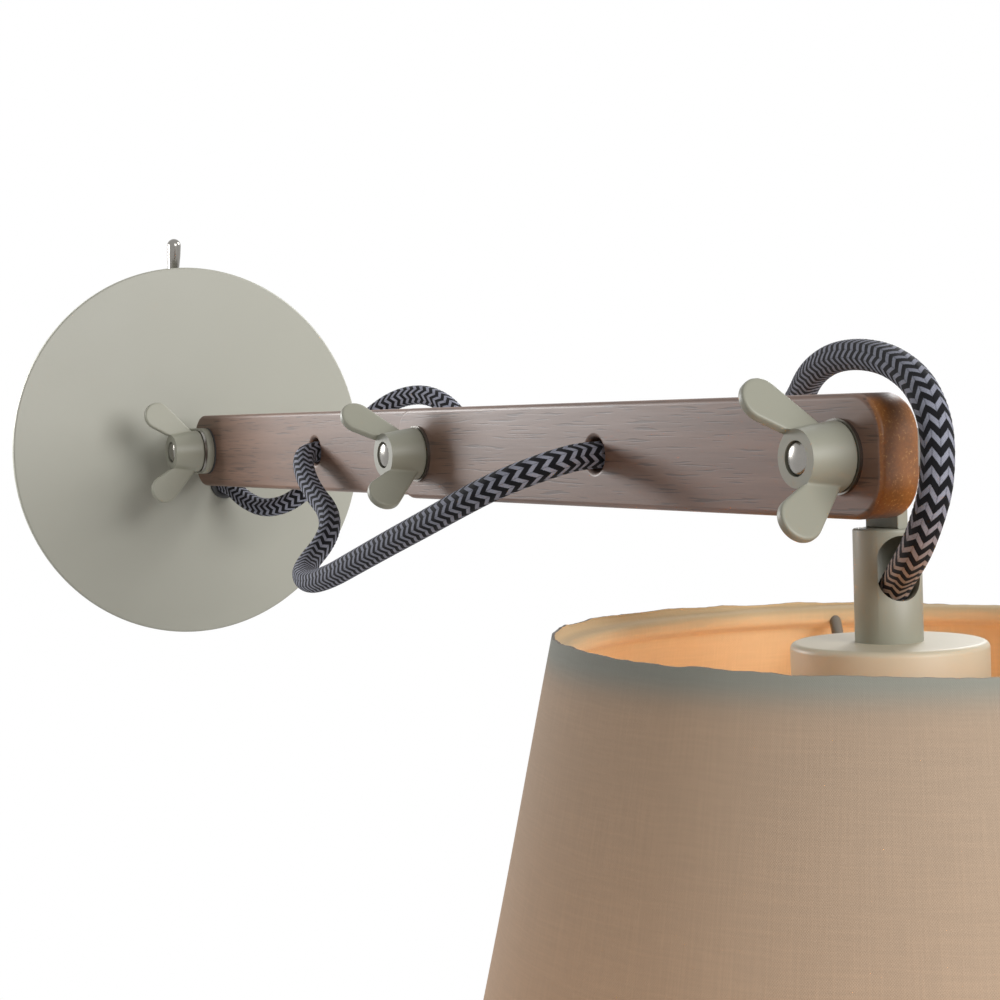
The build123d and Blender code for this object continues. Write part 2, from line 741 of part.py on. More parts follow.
# Shade frame: fitter ring, spokes and top wire in one welded piece
shade_top_drop = cup_drop - shade_top_rise
shade_slope = (shade_bottom_radius - shade_top_radius) / shade_height
wire_inset = shade_fabric_thickness + wire_radius + seat_clearance
top_wire_radius = shade_top_radius - wire_inset + wire_radius * shade_slope
top_wire_drop = shade_top_drop + wire_radius
bottom_wire_drop = shade_top_drop + shade_height - wire_radius
bottom_wire_radius = shade_bottom_radius - wire_inset - wire_radius * shade_slope
spoke_start_radius = fitter_outer_radius - spoke_radius
spoke_start_drop = cup_bottom_drop + fitter_thickness / 2 - spoke_radius
with BuildPart() as fitter:
    with BuildSketch(head_plane(ring_top_drop)):
        Circle(fitter_outer_radius)
        Circle(holder_radius + ring_nut_clearance, mode=Mode.SUBTRACT)
    extrude(amount=fitter_thickness)
    with Locations(head_plane(top_wire_drop)):
        Torus(top_wire_radius, wire_radius)
    for spoke in range(spoke_count):
        angle = math.radians(spoke_turn + full_turn * spoke / spoke_count)
        out = Vector(math.cos(angle), math.sin(angle), 0)
        start = Vector(stem_x, head_y, -spoke_start_drop) + out * spoke_start_radius
        end = Vector(stem_x, head_y, -top_wire_drop) + out * top_wire_radius
        with BuildSketch(Plane(origin=start, z_dir=end - start)):
            Circle(spoke_radius)
        extrude(amount=(end - start).length)
save(fitter, "shade_frame")

with BuildPart() as bottom_wire:
    with Locations(head_plane(bottom_wire_drop)):
        Torus(bottom_wire_radius, wire_radius)
save(bottom_wire, "shade_bottom_wire")

with BuildPart() as fabric:
    with BuildSketch(stem_section_plane()):
        with BuildLine():
            shade_bottom_drop = shade_top_drop + shade_height
            Polyline(
                (shade_top_radius, -shade_top_drop),
                (shade_bottom_radius, -shade_bottom_drop),
                (shade_bottom_radius - shade_fabric_thickness, -shade_bottom_drop),
                (shade_top_radius - shade_fabric_thickness, -shade_top_drop),
                close=True,
            )
        make_face()
    revolve(axis=Axis((stem_x, head_y, 0), (0, 0, 1)))
save(fabric, "shade_fabric")

# Bulb: glass globe, screw cap and contact button
bulb_contact_drop = shell_top_drop + seat_clearance
bulb_cap_drop = bulb_contact_drop + bulb_contact_height
bulb_glass_drop = bulb_cap_drop + bulb_cap_height
bulb_centre = bulb_glass_drop + bulb_neck_length + bulb_centre_drop
with BuildPart() as bulb_cap:
    with BuildSketch(head_plane(bulb_glass_drop)):
        Circle(bulb_cap_radius)
    extrude(amount=bulb_cap_height)
    chamfer(bulb_cap.edges().group_by(Axis.Z)[-1], bulb_contact_height)
save(bulb_cap, "bulb_cap")

with BuildPart() as bulb_button:
    with BuildSketch(head_plane(bulb_cap_drop)):
        Circle(bulb_contact_radius)
    extrude(amount=bulb_contact_height)
save(bulb_button, "bulb_contact")

globe_meets_neck = bulb_centre - math.sqrt(bulb_radius ** 2 - bulb_neck_radius ** 2)
glass_inner_radius = bulb_radius - bulb_glass_wall
neck_inner_radius = bulb_neck_radius - bulb_glass_wall
inner_meets_neck = bulb_centre - math.sqrt(glass_inner_radius ** 2 - neck_inner_radius ** 2)
with BuildPart() as bulb_glass:
    with BuildSketch(stem_section_plane()):
        with BuildLine():
            Line((neck_inner_radius, -bulb_glass_drop), (bulb_neck_radius, -bulb_glass_drop))
            Line((bulb_neck_radius, -bulb_glass_drop), (bulb_neck_radius, -globe_meets_neck))
            ThreePointArc(
                (bulb_neck_radius, -globe_meets_neck),
                (bulb_radius, -bulb_centre),
                (0, -bulb_centre - bulb_radius),
            )
            Line((0, -bulb_centre - bulb_radius), (0, -bulb_centre - glass_inner_radius))
            ThreePointArc(
                (0, -bulb_centre - glass_inner_radius),
                (glass_inner_radius, -bulb_centre),
                (neck_inner_radius, -inner_meets_neck),
            )
            Line((neck_inner_radius, -inner_meets_neck), (neck_inner_radius, -bulb_glass_drop))
        make_face()
    revolve(axis=Axis((stem_x, head_y, 0), (0, 0, 1)))
save(bulb_glass, "bulb_glass")

# Cord routes: free points, with their two ends worked out from the holes
lower_hole_x = (lower_left + lower_right) / 2
upper_hole_x = (upper_left + upper_right) / 2
arc_share = 0.45
wall_route = [
    (cord_outlet_side, -cord_start, -cord_outlet_drop),
    (13, -37, -14.5),
    (13.5, -50, -20.5),
    (17, -65, -24.5),
    (23, -80, -21),
    (30, -93, -10),
    (37, -104, 3),
    (43, -114, 13),
    (48.5, -127, 19),
    (53, -142, 19.5),
    (56, -156, 13.5),
    (55.5, -165.5, 4.5),
    (50.5, -171.5, -3.5),
    (41, -173.5, -8),
    (29.5, -171, -7),
    (19, -167.5, -2.5),
    (9, -166.5, 0),
    (lower_hole_x, lower_hole_y, 0),
]
elbow_route = [
    (lower_hole_x, lower_hole_y, 0),
    (-8, -166.5, 0),
    (-13.2, -173, -3.2),
    (-16, -182.5, -9),
    (-17.5, -193.5, -14.5),
    (-18.2, -204.5, -19),
    (-21, -213, -24.5),
    (-26.5, -218.5, -29.8),
    (-33.5, -223, -34.5),
    (-40.5, -232.5, -38),
    (-45, -248.5, -39.5),
    (-47.5, -269.5, -36.5),
    (-49, -293, -30.5),
    (-49.5, -317, -24),
    (-49.5, -339, -18),
    (-48.5, -357, -12.5),
    (-44.5, -369.5, -7.5),
    (-38, -376.5, -4),
    (-30, -379, -1.5),
    (-20.5, -376.5, 0),
    (upper_hole_x, upper_hole_y, 0),
]
head_route = [
    (upper_hole_x, upper_hole_y, 0),
    (1, -376.5, 0),
    (11.5, -378, 0.7),
    (20, -383, 2.5),
    (25, -391, 5.2),
    (26, -401, 8.3),
    (23.5, -411, 11.5),
    (19, -420.5, 14.8),
    (13.8, -430, 18),
    (9, -440.5, 20.7),
    (4.5, -452.5, 22.7),
    (0.5, -465.5, 23.2),
    (-3, -478, 22.3),
    (-6.5, -489, 20.3),
    (-9, -498.5, 16.7),
    (-11, -505, 12.2),
    (-12.5, -509.3, 6.5),
    (-13.6, -511, 0),
    (-14, -510.5, -7),
    (-13.7, -506.8, -14.2),
    (-12.3, -501.5, -20.2),
    (-9.7, -495.3, -24),
    (-6.2, -488.8, -26.8),
    (stem_x, head_y, -32.5),
    (stem_x, head_y, -grip_bottom_drop),
]


def make_cord(route, label):
    """A cord's tube: straight runs joined by tangent arcs, each as large as it can be."""
    points = [Vector(*place) for place in route]
    runs = [after - before for before, after in zip(points, points[1:])]
    radii = []
    tube_length = sum(run.length for run in runs)
    for run, following in zip(runs, runs[1:]):
        half_turn = math.radians(run.get_angle(following)) / 2
        tangent = arc_share * min(run.length, following.length)
        radius = tangent / math.tan(half_turn)
        radii.append(radius)
        tube_length += 2 * (radius * half_turn - tangent)
    with BuildPart() as cord:
        with BuildLine() as path:
            FilletPolyline(*points, radius=radii)
        with BuildSketch(Plane(origin=points[0], z_dir=runs[0])):
            Circle(cord_radius)
        sweep(path=path.line)
    expected = math.pi * cord_radius ** 2 * tube_length
    print(label, "length", round(tube_length, 1), "volume share", round(cord.part.volume / expected, 4))
    print("  radii", [round(radius, 1) for radius in radii])
    save(cord, label)


make_cord(wall_route, "cord_wall_stretch")
make_cord(elbow_route, "cord_elbow_stretch")
make_cord(head_route, "cord_head_stretch")
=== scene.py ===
import json
import math

import bmesh
import bpy
from bpy.props import FloatProperty, FloatVectorProperty, IntProperty, PointerProperty
from mathutils import Matrix, Vector, noise


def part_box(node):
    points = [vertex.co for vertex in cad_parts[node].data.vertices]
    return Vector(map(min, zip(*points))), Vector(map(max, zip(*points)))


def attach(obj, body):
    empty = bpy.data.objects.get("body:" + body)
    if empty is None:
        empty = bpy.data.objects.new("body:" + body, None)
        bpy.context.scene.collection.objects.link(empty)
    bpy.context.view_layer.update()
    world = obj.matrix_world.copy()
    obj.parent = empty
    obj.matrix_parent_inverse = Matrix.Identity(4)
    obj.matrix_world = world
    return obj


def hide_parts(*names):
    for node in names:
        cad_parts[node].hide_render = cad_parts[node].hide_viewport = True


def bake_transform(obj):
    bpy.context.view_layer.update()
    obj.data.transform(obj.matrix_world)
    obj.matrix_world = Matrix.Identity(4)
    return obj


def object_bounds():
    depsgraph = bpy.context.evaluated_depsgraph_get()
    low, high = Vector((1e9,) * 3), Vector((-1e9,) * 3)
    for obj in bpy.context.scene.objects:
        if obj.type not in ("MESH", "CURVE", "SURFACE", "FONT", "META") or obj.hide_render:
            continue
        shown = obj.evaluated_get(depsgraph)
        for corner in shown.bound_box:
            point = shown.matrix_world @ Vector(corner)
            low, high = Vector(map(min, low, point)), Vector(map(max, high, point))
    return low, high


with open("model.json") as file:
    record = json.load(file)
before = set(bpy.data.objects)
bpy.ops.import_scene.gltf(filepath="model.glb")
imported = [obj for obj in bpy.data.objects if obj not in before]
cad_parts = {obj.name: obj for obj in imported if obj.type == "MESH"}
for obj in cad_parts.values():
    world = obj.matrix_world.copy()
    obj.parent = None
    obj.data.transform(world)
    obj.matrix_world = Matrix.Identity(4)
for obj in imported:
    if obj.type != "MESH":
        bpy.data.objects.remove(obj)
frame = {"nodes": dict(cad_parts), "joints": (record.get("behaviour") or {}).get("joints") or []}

bl_info = {
    "name": "Jointed Wall Lamp",
    "version": (1, 0, 0),
    "blender": (4, 5, 0),
    "location": "View3D > Sidebar > Wall Lamp",
    "description": "Dresses a jointed wooden wall lamp: painted hardware, braided cord and linen shade",
    "category": "Add Mesh",
}

# Everything is in metres, in the lamp's own frame: the wall is Y = 0 and the arms reach along -Y.
MM = 0.001
FULL_TURN = 2 * math.pi
CAD_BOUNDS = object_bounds()
PIVOTS = {joint["name"]: Vector(joint["pos_m"]) for joint in frame["joints"]}
WALL_PIVOT = PIVOTS["wall_pivot"]
ELBOW = PIVOTS["elbow"]
HEAD_PIVOT = PIVOTS["head_pivot"]
UP = Vector((0, 0, 1))
OUT = Vector((0, -1, 0))
LEFT = Vector((-1, 0, 0))
ORIGIN = Vector((0, 0, 0))
TOUCHING = 1e-7


def low(node):
    """The lowest corner of a node's box."""
    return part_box(node)[0]


def high(node):
    """The highest corner of a node's box."""
    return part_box(node)[1]


def middle(node):
    """The centre of a node's box."""
    return (low(node) + high(node)) / 2


def half_width(node):
    """Half of a node's size along X."""
    return (high(node).x - low(node).x) / 2


def display(red, green, blue):
    """A colour written as it shows on screen, 0 to 255, in the linear values that shaders use."""
    def linear(level):
        share = level / 255
        return share / 12.92 if share <= 0.04045 else ((share + 0.055) / 1.055) ** 2.4
    return (linear(red), linear(green), linear(blue))


STEM_AXIS = Vector((middle("stem_tube").x, HEAD_PIVOT.y, 0))
SHADE_TOP = high("shade_fabric").z
SHADE_BOTTOM = low("shade_fabric").z
WIRE_HEIGHT = SHADE_TOP - 1.5 * MM
WIRE_REACH = half_width("shade_frame")
SHADE_NARROW = WIRE_REACH + 0.9 * MM
SHADE_WIDE = half_width("shade_fabric")


class LampSizes(bpy.types.PropertyGroup):
    """Sizes of the lamp's looks that its frame doesn't settle."""

    nut_grain: FloatProperty(
        name="Nut mesh size", description="Spacing of the cast nut's mesh",
        default=0.28 * MM, unit="LENGTH")
    wood_edge: FloatProperty(
        name="Wood edge", description="Radius of the rounded edges of the wooden arms",
        default=1.3 * MM, unit="LENGTH")
    cord_diameter: FloatProperty(
        name="Cord diameter", description="Diameter over the textile braid",
        default=7.3 * MM, unit="LENGTH")
    braid_pitch: FloatProperty(
        name="Braid pitch", description="Length of one dark and one pale band along the cord",
        default=3.45 * MM, unit="LENGTH")
    braid_peaks: IntProperty(
        name="Braid peaks", description="Number of zigzag peaks round the cord", default=6)
    braid_relief: FloatProperty(
        name="Braid relief", description="How far the threads stand out of the cord",
        default=0.16 * MM, unit="LENGTH")
    cloth_thickness: FloatProperty(
        name="Shade cloth", description="Thickness of the shade's lined cloth",
        default=0.7 * MM, unit="LENGTH")
    hem_width: FloatProperty(
        name="Hem width", description="How far the shade's lower hem comes up over the cloth",
        default=6.0 * MM, unit="LENGTH")
    edge_waviness: FloatProperty(
        name="Edge waviness", description="How far the cloth's trimmed edges wander from a true circle",
        default=0.24 * MM, unit="LENGTH")
    rim_rise: FloatProperty(
        name="Rim rise", description="How far the cloth's upper edge stands over the top wire's middle",
        default=2.7 * MM, unit="LENGTH")


class LampColours(bpy.types.PropertyGroup):
    """Colours of the lamp's finishes."""

    paint: FloatVectorProperty(
        name="Paint", description="Satin paint of the canopy",
        default=display(162, 161, 149), subtype="COLOR", size=3, min=0, max=1)
    # The cast tone is the canopy's paint made darker, as painted shade on the cast and turned parts. The
    # cup tone is the same paint made lighter, as painted light on the lampholder's cup.
    cast_paint: FloatVectorProperty(
        name="Cast paint", description="The same paint on the rough cast and turned parts",
        default=display(150, 149, 134), subtype="COLOR", size=3, min=0, max=1)
    cup_paint: FloatVectorProperty(
        name="Cup paint", description="The paint on the lampholder's cup",
        default=display(196, 186, 162), subtype="COLOR", size=3, min=0, max=1)
    wood_face: FloatVectorProperty(
        name="Wood face", description="Long grain of the arms",
        default=display(124, 92, 74), subtype="COLOR", size=3, min=0, max=1)
    wood_streak: FloatVectorProperty(
        name="Wood streak", description="Darker streaks along the grain",
        default=display(92, 64, 48), subtype="COLOR", size=3, min=0, max=1)
    wood_pore: FloatVectorProperty(
        name="Wood pore", description="Fine dark pores along the grain",
        default=display(58, 38, 28), subtype="COLOR", size=3, min=0, max=1)
    wood_end: FloatVectorProperty(
        name="Wood end", description="End grain of the arms",
        default=display(148, 90, 34), subtype="COLOR", size=3, min=0, max=1)
    wood_fleck: FloatVectorProperty(
        name="Wood fleck", description="Pale flecks in the end grain",
        default=display(206, 158, 96), subtype="COLOR", size=3, min=0, max=1)
    thread_dark: FloatVectorProperty(
        name="Dark thread", description="Dark threads of the cord's braid",
        default=display(16, 16, 20), subtype="COLOR", size=3, min=0, max=1)
    thread_pale: FloatVectorProperty(
        name="Pale thread", description="Pale threads of the cord's braid",
        default=display(158, 160, 174), subtype="COLOR", size=3, min=0, max=1)
    linen: FloatVectorProperty(
        name="Linen", description="Outside of the shade",
        default=display(168, 152, 134), subtype="COLOR", size=3, min=0, max=1)
    hem: FloatVectorProperty(
        name="Hem", description="Glued hems of the shade",
        default=display(152, 151, 140), subtype="COLOR", size=3, min=0, max=1)
    lining: FloatVectorProperty(
        name="Lining", description="Inside of the shade",
        default=display(206, 180, 140), subtype="COLOR", size=3, min=0, max=1)
    glow: FloatVectorProperty(
        name="Glow", description="Colour of the bulb's light through the shade",
        default=display(255, 176, 100), subtype="COLOR", size=3, min=0, max=1)


class StudioSettings(bpy.types.PropertyGroup):
    """The camera and the plain light round the lamp."""

    lens: FloatProperty(
        name="Lens", description="Focal length on a 36 mm wide sensor", default=76.82, unit="CAMERA")
    floor_drop: FloatProperty(
        name="Floor drop", description="How far the floor lies under the lamp",
        default=0.45, unit="LENGTH")
    ambient: FloatProperty(
        name="Ambient", description="Strength of the even light from all sides", default=0.27)
    key_power: FloatProperty(
        name="Key light", description="Power of the large lamp in front", default=30.0, unit="POWER")
    side_power: FloatProperty(
        name="Side light", description="Power of the lamp beside the canopy", default=2.0, unit="POWER")
    rear_power: FloatProperty(
        name="Rear light", description="Power of the small lamp behind the canopy",
        default=1.6, unit="POWER")
    bulb_power: FloatProperty(
        name="Bulb light", description="Power of the light inside the shade",
        default=0.62, unit="POWER")


def sizes():
    """The scene's lamp sizes."""
    return bpy.context.scene.lamp_sizes


def colours():
    """The scene's lamp colours."""
    return bpy.context.scene.lamp_colours


class Signal:
    """One socket of a shader tree. Sums on it add Math nodes and give their result."""

    def __init__(self, tree, socket=None):
        self.tree = tree
        self.socket = socket

    def make(self, kind, settings=(), inputs=(), output=0):
        """Adds any node: its settings first, then its sockets' values or links."""
        node = self.tree.nodes.new(kind)
        for name, value in dict(settings).items():
            setattr(node, name, value)
        for key, value in dict(inputs).items():
            if isinstance(value, Signal):
                self.tree.links.new(value.socket, node.inputs[key])
            else:
                node.inputs[key].default_value = value
        return Signal(self.tree, None if output is None else node.outputs[output])

    def math(self, operation, *terms):
        """A Math node of these terms."""
        return self.make("ShaderNodeMath", {"operation": operation}, dict(enumerate(terms)))

    def __add__(self, other):
        return self.math("ADD", self, other)

    __radd__ = __add__

    def __sub__(self, other):
        return self.math("SUBTRACT", self, other)

    def __rsub__(self, other):
        return self.math("SUBTRACT", other, self)

    def __mul__(self, other):
        return self.math("MULTIPLY", self, other)

    __rmul__ = __mul__

    def __abs__(self):
        return self.math("ABSOLUTE", self)

    def fraction(self):
        """What is left over whole numbers."""
        return self.math("FRACT", self)

    def sine(self):
        """The sine of the value, in radians."""
        return self.math("SINE", self)

    def larger(self, other):
        """The larger of two values."""
        return self.math("MAXIMUM", self, other)

    def step(self, start, end):
        """0 at start, 1 at end, with a smooth rise between and level beyond."""
        inputs = {"Value": self, "From Min": start, "From Max": end}
        return self.make("ShaderNodeMapRange", {"interpolation_type": "SMOOTHSTEP"}, inputs)

    def mix(self, first, second):
        """The colour first where this value is 0, and second where it is 1."""
        inputs = {0: self, 6: as_colour(first), 7: as_colour(second)}
        return self.make("ShaderNodeMix", {"data_type": "RGBA"}, inputs, output=2)

    def vector(self, operation, *terms, output=0):
        """A Vector Math node of this vector and these terms."""
        inputs = dict(enumerate((self, *terms)))
        return self.make("ShaderNodeVectorMath", {"operation": operation}, inputs, output)

    def part(self, axis):
        """The X, Y or Z of a vector."""
        return self.make("ShaderNodeSeparateXYZ", {}, {0: self}, output="XYZ".index(axis))

    def noise(self, scale, detail=2.0, roughness=0.5):
        """Even noise from 0 to 1, with its middle at a half, where this is a place."""
        inputs = {"Vector": self, "Scale": scale, "Detail": detail, "Roughness": roughness}
        return self.make("ShaderNodeTexNoise", {}, inputs)


def as_colour(value):
    """A socket, or a colour with its alpha of 1."""
    return value if isinstance(value, Signal) else (*value[:3], 1.0)


def shade_of(colour, factor):
    """A colour made lighter or darker by a factor."""
    return tuple(min(1.0, level * factor) for level in colour[:3])


def new_material(name, finish):
    """A material of one Principled shader, whose inputs the function finish gives."""
    material = bpy.data.materials.get(name)
    if material:
        return material
    material = bpy.data.materials.new(name)
    material.use_nodes = True
    tree = material.node_tree
    tree.nodes.clear()
    start = Signal(tree)
    shader = start.make("ShaderNodeBsdfPrincipled", {}, finish(start))
    start.make("ShaderNodeOutputMaterial", {}, {"Surface": shader}, output=None)
    return material


def place_in(start):
    """The place on the object at rest, in metres."""
    return start.make("ShaderNodeTexCoord", output="Object")


def bump(height, strength, depth):
    """A normal from a height of 0 to 1 that stands for depth in metres."""
    inputs = {"Strength": strength, "Distance": depth, "Height": height}
    return height.make("ShaderNodeBump", {}, inputs)


def paint_finish(kind="paint"):
    """Satin powder paint in one of its tones, of which the cast tone carries painted shade and the cup
    tone painted light: a fine orange peel and a faint unevenness.
    """
    def finish(start):
        place = place_in(start)
        cloud = place.noise(38.0, 3.0)
        peel = place.noise(1300.0, 1.0)
        tone = getattr(colours(), kind)
        return {
            "Base Color": cloud.mix(shade_of(tone, 0.97), shade_of(tone, 1.03)),
            "Roughness": 0.4 + 0.12 * cloud,
            "Specular IOR Level": 0.5,
            "Normal": bump(peel, 0.12, 0.05 * MM),
        }
    return new_material("satin_" + kind, finish)


def metal_finish(name, colour, roughness, unevenness, scratch_scale=700.0):
    """Bare or plated metal with fine handling marks."""
    def finish(start):
        place = place_in(start)
        marks = place.noise(scratch_scale, 4.0)
        return {
            "Base Color": marks.mix(shade_of(colour, 0.92), shade_of(colour, 1.05)),
            "Metallic": 1.0,
            "Roughness": roughness + unevenness * marks,
            "Normal": bump(marks, 0.08, 0.02 * MM),
        }
    return new_material(name, finish)


def chrome_finish():
    """Bright plate of the bolts and the switch."""
    return metal_finish("bright_plate", display(140, 137, 132), 0.16, 0.1)


def zinc_finish():
    """Dull zinc plate of the hidden steel parts."""
    return metal_finish("zinc_plate", display(176, 178, 180), 0.3, 0.2, 420.0)


def brass_finish():
    """Plain brass of the contacts and screw shells."""
    return metal_finish("plain_brass", display(206, 174, 104), 0.22, 0.16, 520.0)


def plastic_finish(name, colour, roughness):
    """Moulded plastic with a fine spark-eroded texture."""
    def finish(start):
        place = place_in(start)
        texture = place.noise(1600.0, 2.0)
        cloud = place.noise(60.0)
        return {
            "Base Color": cloud.mix(shade_of(colour, 0.9), shade_of(colour, 1.1)),
            "Roughness": roughness + 0.1 * texture,
            "Normal": bump(texture, 0.25, 0.03 * MM),
        }
    return new_material(name, finish)


def black_plastic():
    """Black plastic of the bushes, clamp, switch and lampholder body."""
    return plastic_finish("black_plastic", display(42, 41, 41), 0.45)


GRAIN_STRETCH = 0.035


def wood_finish():
    """Oiled walnut: streaks and fine pores along Y, and flecked end grain on the arms' ends."""
    def finish(start):
        tone = colours()
        place = place_in(start)
        warp = place.vector("MULTIPLY", (1.0, 0.3, 1.0)).noise(22.0, 2.0)
        along = place.vector("MULTIPLY", (1.0, GRAIN_STRETCH, 1.0))
        streaks = along.noise(210.0, 4.0, 0.6)
        fine = along.noise(900.0, 3.0, 0.65)
        height = place.part("Z")
        bands = ((height * 620.0 + warp * 17.0).sine() * 0.5 + 0.5) * 0.34
        shadow = (streaks.step(0.3, 0.72) * 0.55 + bands + fine.step(0.35, 0.8) * 0.35) * 0.9
        pores = along.noise(1900.0, 1.0).step(0.58, 0.68)
        face = shadow.mix(tone.wood_face, tone.wood_streak)
        face = (pores * 0.72).mix(face, tone.wood_pore)
        flecks = place.noise(1500.0, 3.0, 0.7)
        rings = ((place.part("X") * 900.0 + height * 260.0 + warp * 9.0).sine() * 0.5 + 0.5) * 0.5
        end = (rings + flecks.step(0.35, 0.6) * 0.4).mix(shade_of(tone.wood_end, 0.62), tone.wood_end)
        end = (flecks.step(0.58, 0.7) * 0.6).mix(end, tone.wood_fleck)
        facing = abs(start.make("ShaderNodeTexCoord", output="Normal").part("Y"))
        wander = place.noise(260.0, 2.0) * 0.16
        end_grain = (facing + wander).step(0.42, 0.66)
        colour = end_grain.mix(face, end)
        dark_rim = 5.4 * MM
        clean_face = 6.6 * MM
        for arm in ("lower_arm", "upper_arm"):
            hole = Vector((0, middle(arm).y, 0))
            flat = place.vector("MULTIPLY", (0.0, 1.0, 1.0)).vector("SUBTRACT", hole)
            torn = flat.vector("LENGTH", output="Value") + place.noise(700.0) * 2.4 * MM
            colour = ((1.0 - torn.step(dark_rim, clean_face)) * 0.85).mix(colour, tone.wood_pore)
        grain_height = 1.0 - pores * 0.8 + fine * 0.35
        return {
            "Base Color": colour,
            "Roughness": 0.38 + 0.12 * fine,
            "Sheen Weight": 0.06,
            "Sheen Roughness": 0.45,
            "Sheen Tint": (*display(255, 240, 234), 1.0),
            "Specular IOR Level": 0.5,
            "Normal": bump(grain_height, 0.14, 0.1 * MM),
        }
    return new_material("oiled_walnut", finish)


# How many bands the zigzag climbs from a valley to a peak.
BRAID_RISE = 0.62


def braid_finish():
    """Zigzag bands of dark and pale threads; the map's U counts peaks and its V counts bands."""
    def finish(start):
        tone = colours()
        weave = start.make("ShaderNodeUVMap", {"uv_map": "weave"}, output="UV")
        across = weave.part("X").fraction()
        climb = abs(across * 2.0 - 1.0)
        along = weave.part("Y") + climb * BRAID_RISE
        place = place_in(start)
        fuzz = place.noise(2600.0, 2.0)
        phase = (along + (fuzz - 0.5) * 0.1).fraction()
        pale = abs(phase * 2.0 - 1.0).step(0.5, 0.58)
        thread = abs((along * 8.0).fraction() * 2.0 - 1.0)
        fold = abs(climb - 0.5) * 2.0
        tuck = fold.step(0.74, 1.0) * 0.5
        band_edge = 1.0 - abs((along * 2.0 + 0.5).fraction() * 2.0 - 1.0)
        gap = (1.0 - band_edge).step(0.72, 1.0) * 0.5
        # light is painted shading of the braid: lighter along each thread's middle, painted shade in the
        # gaps between bands and at the tucks, with a random tone from the fuzz. dark and bright are
        # shaded and lit copies of each thread colour.
        light = (fuzz * 0.7 + thread * 0.45 - gap - tuck).step(0.0, 1.0)
        dark = light.mix(shade_of(tone.thread_dark, 0.5), shade_of(tone.thread_dark, 1.7))
        bright = light.mix(shade_of(tone.thread_pale, 0.55), shade_of(tone.thread_pale, 1.12))
        weave_colour = pale.mix(dark, bright)
        # Painted bulb light: under the arm's end by the stem, the pale threads are tinted warm as if lit
        # by the bulb.
        under = (place.part("Z") * -1.0).step(10.0 * MM, 30.0 * MM)
        beyond = (place.part("Y") * -1.0).step(460.0 * MM, 485.0 * MM)
        painted_bulb_light = pale.mix(dark, shade_of(display(196, 160, 122), 0.9))
        weave_colour = (under * beyond * 0.55).mix(weave_colour, painted_bulb_light)
        return {
            "Base Color": weave_colour,
            "Roughness": 0.72 + 0.2 * fuzz,
            "Specular IOR Level": 0.18,
            "Sheen Weight": 0.05,
            "Sheen Roughness": 0.4,
            "Normal": bump(thread * 0.7 + fuzz * 0.3 - tuck, 0.6, 0.12 * MM),
        }
    return new_material("braided_textile", finish)


def linen_threads(start):
    """Height of the plain weave and the uneven slubs of the threads, from the cloth's map."""
    cloth = start.make("ShaderNodeUVMap", {"uv_map": "turned"}, output="UV")
    two_threads = 0.62 * MM
    stretch = 0.03
    warp = (cloth.part("X") * (FULL_TURN / two_threads)).sine()
    weft = (cloth.part("Y") * (FULL_TURN / two_threads)).sine()
    weave = warp * weft * 0.5 + 0.5
    upright = cloth.vector("MULTIPLY", (1.0, stretch, 1.0)).noise(1500.0, 3.0, 0.6)
    level = cloth.vector("MULTIPLY", (stretch, 1.0, 1.0)).noise(1500.0, 3.0, 0.6)
    return weave, upright, level


def linen_finish(name, colour, glow_level, band=None):
    """Shade cloth with the bulb's light painted into it as a glow, less where it is doubled at the rim;
    there it takes the colour band, and below the rim the cloth's colour is painted warmer by the bulb's
    light."""
    def finish(start):
        weave, upright, level = linen_threads(start)
        slubs = (upright.step(0.35, 0.75) + level.step(0.35, 0.75)) * 0.5
        place = place_in(start)
        cloud = place.noise(30.0, 2.0)
        below_wire = WIRE_HEIGHT - place.part("Z")
        # Painted bulb light: below the doubled rim, the single cloth's colour steps from the band colour
        # to the warmer linen.
        single_cloth_lit = below_wire.step(-1.9 * MM, 5.1 * MM)
        unevenness = slubs * 0.5 + weave * 0.3 + cloud * 0.3
        dim = single_cloth_lit.mix(shade_of(band or colour, 0.9), shade_of(colour, 0.9))
        bright = single_cloth_lit.mix(shade_of(band or colour, 1.07), shade_of(colour, 1.07))
        tone = unevenness.mix(dim, bright)
        # Painted glow: the bulb's light through the cloth, put in as emission. It is faint at the
        # doubled rim and rises to full well below the wire.
        painted_glow = below_wire.step(-2.4 * MM, 8.6 * MM) * 0.5 + below_wire.step(4.6 * MM, 106.6 * MM) * 0.5
        painted_glow = painted_glow * (0.86 + 0.28 * slubs)
        glow = colours().glow
        return {
            "Base Color": tone,
            "Roughness": 0.85,
            "Specular IOR Level": 0.25,
            "Sheen Weight": 0.15,
            "Emission Color": painted_glow.mix((0, 0, 0), glow),
            "Emission Strength": glow_level,
            "Normal": bump(weave * 0.6 + slubs * 0.4, 0.5, 0.1 * MM),
        }
    return new_material(name, finish)


def opal_finish():
    """The bulb's opal glass, lit from inside."""
    def finish(start):
        place = place_in(start)
        cloud = place.noise(90.0, 2.0)
        return {
            "Base Color": display(246, 240, 226) + (1.0,),
            "Roughness": 0.22,
            "Emission Color": cloud.mix(display(255, 206, 150), display(255, 222, 176)),
            "Emission Strength": 1.6,
        }
    return new_material("opal_glass", finish)


def wire_finish():
    """Matt coating of the shade's wire frame."""
    def finish(start):
        place = place_in(start)
        cloud = place.noise(120.0, 3.0)
        tone = display(122, 114, 102)
        return {
            "Base Color": cloud.mix(shade_of(tone, 0.9), tone),
            "Roughness": 0.38 + 0.2 * cloud,
            "Normal": bump(cloud, 0.1, 0.05 * MM),
        }
    return new_material("coated_wire", finish)


def dress(node, material):
    """Gives a part of the frame its finish."""
    slots = frame["nodes"][node].data.materials
    slots.clear()
    slots.append(material)


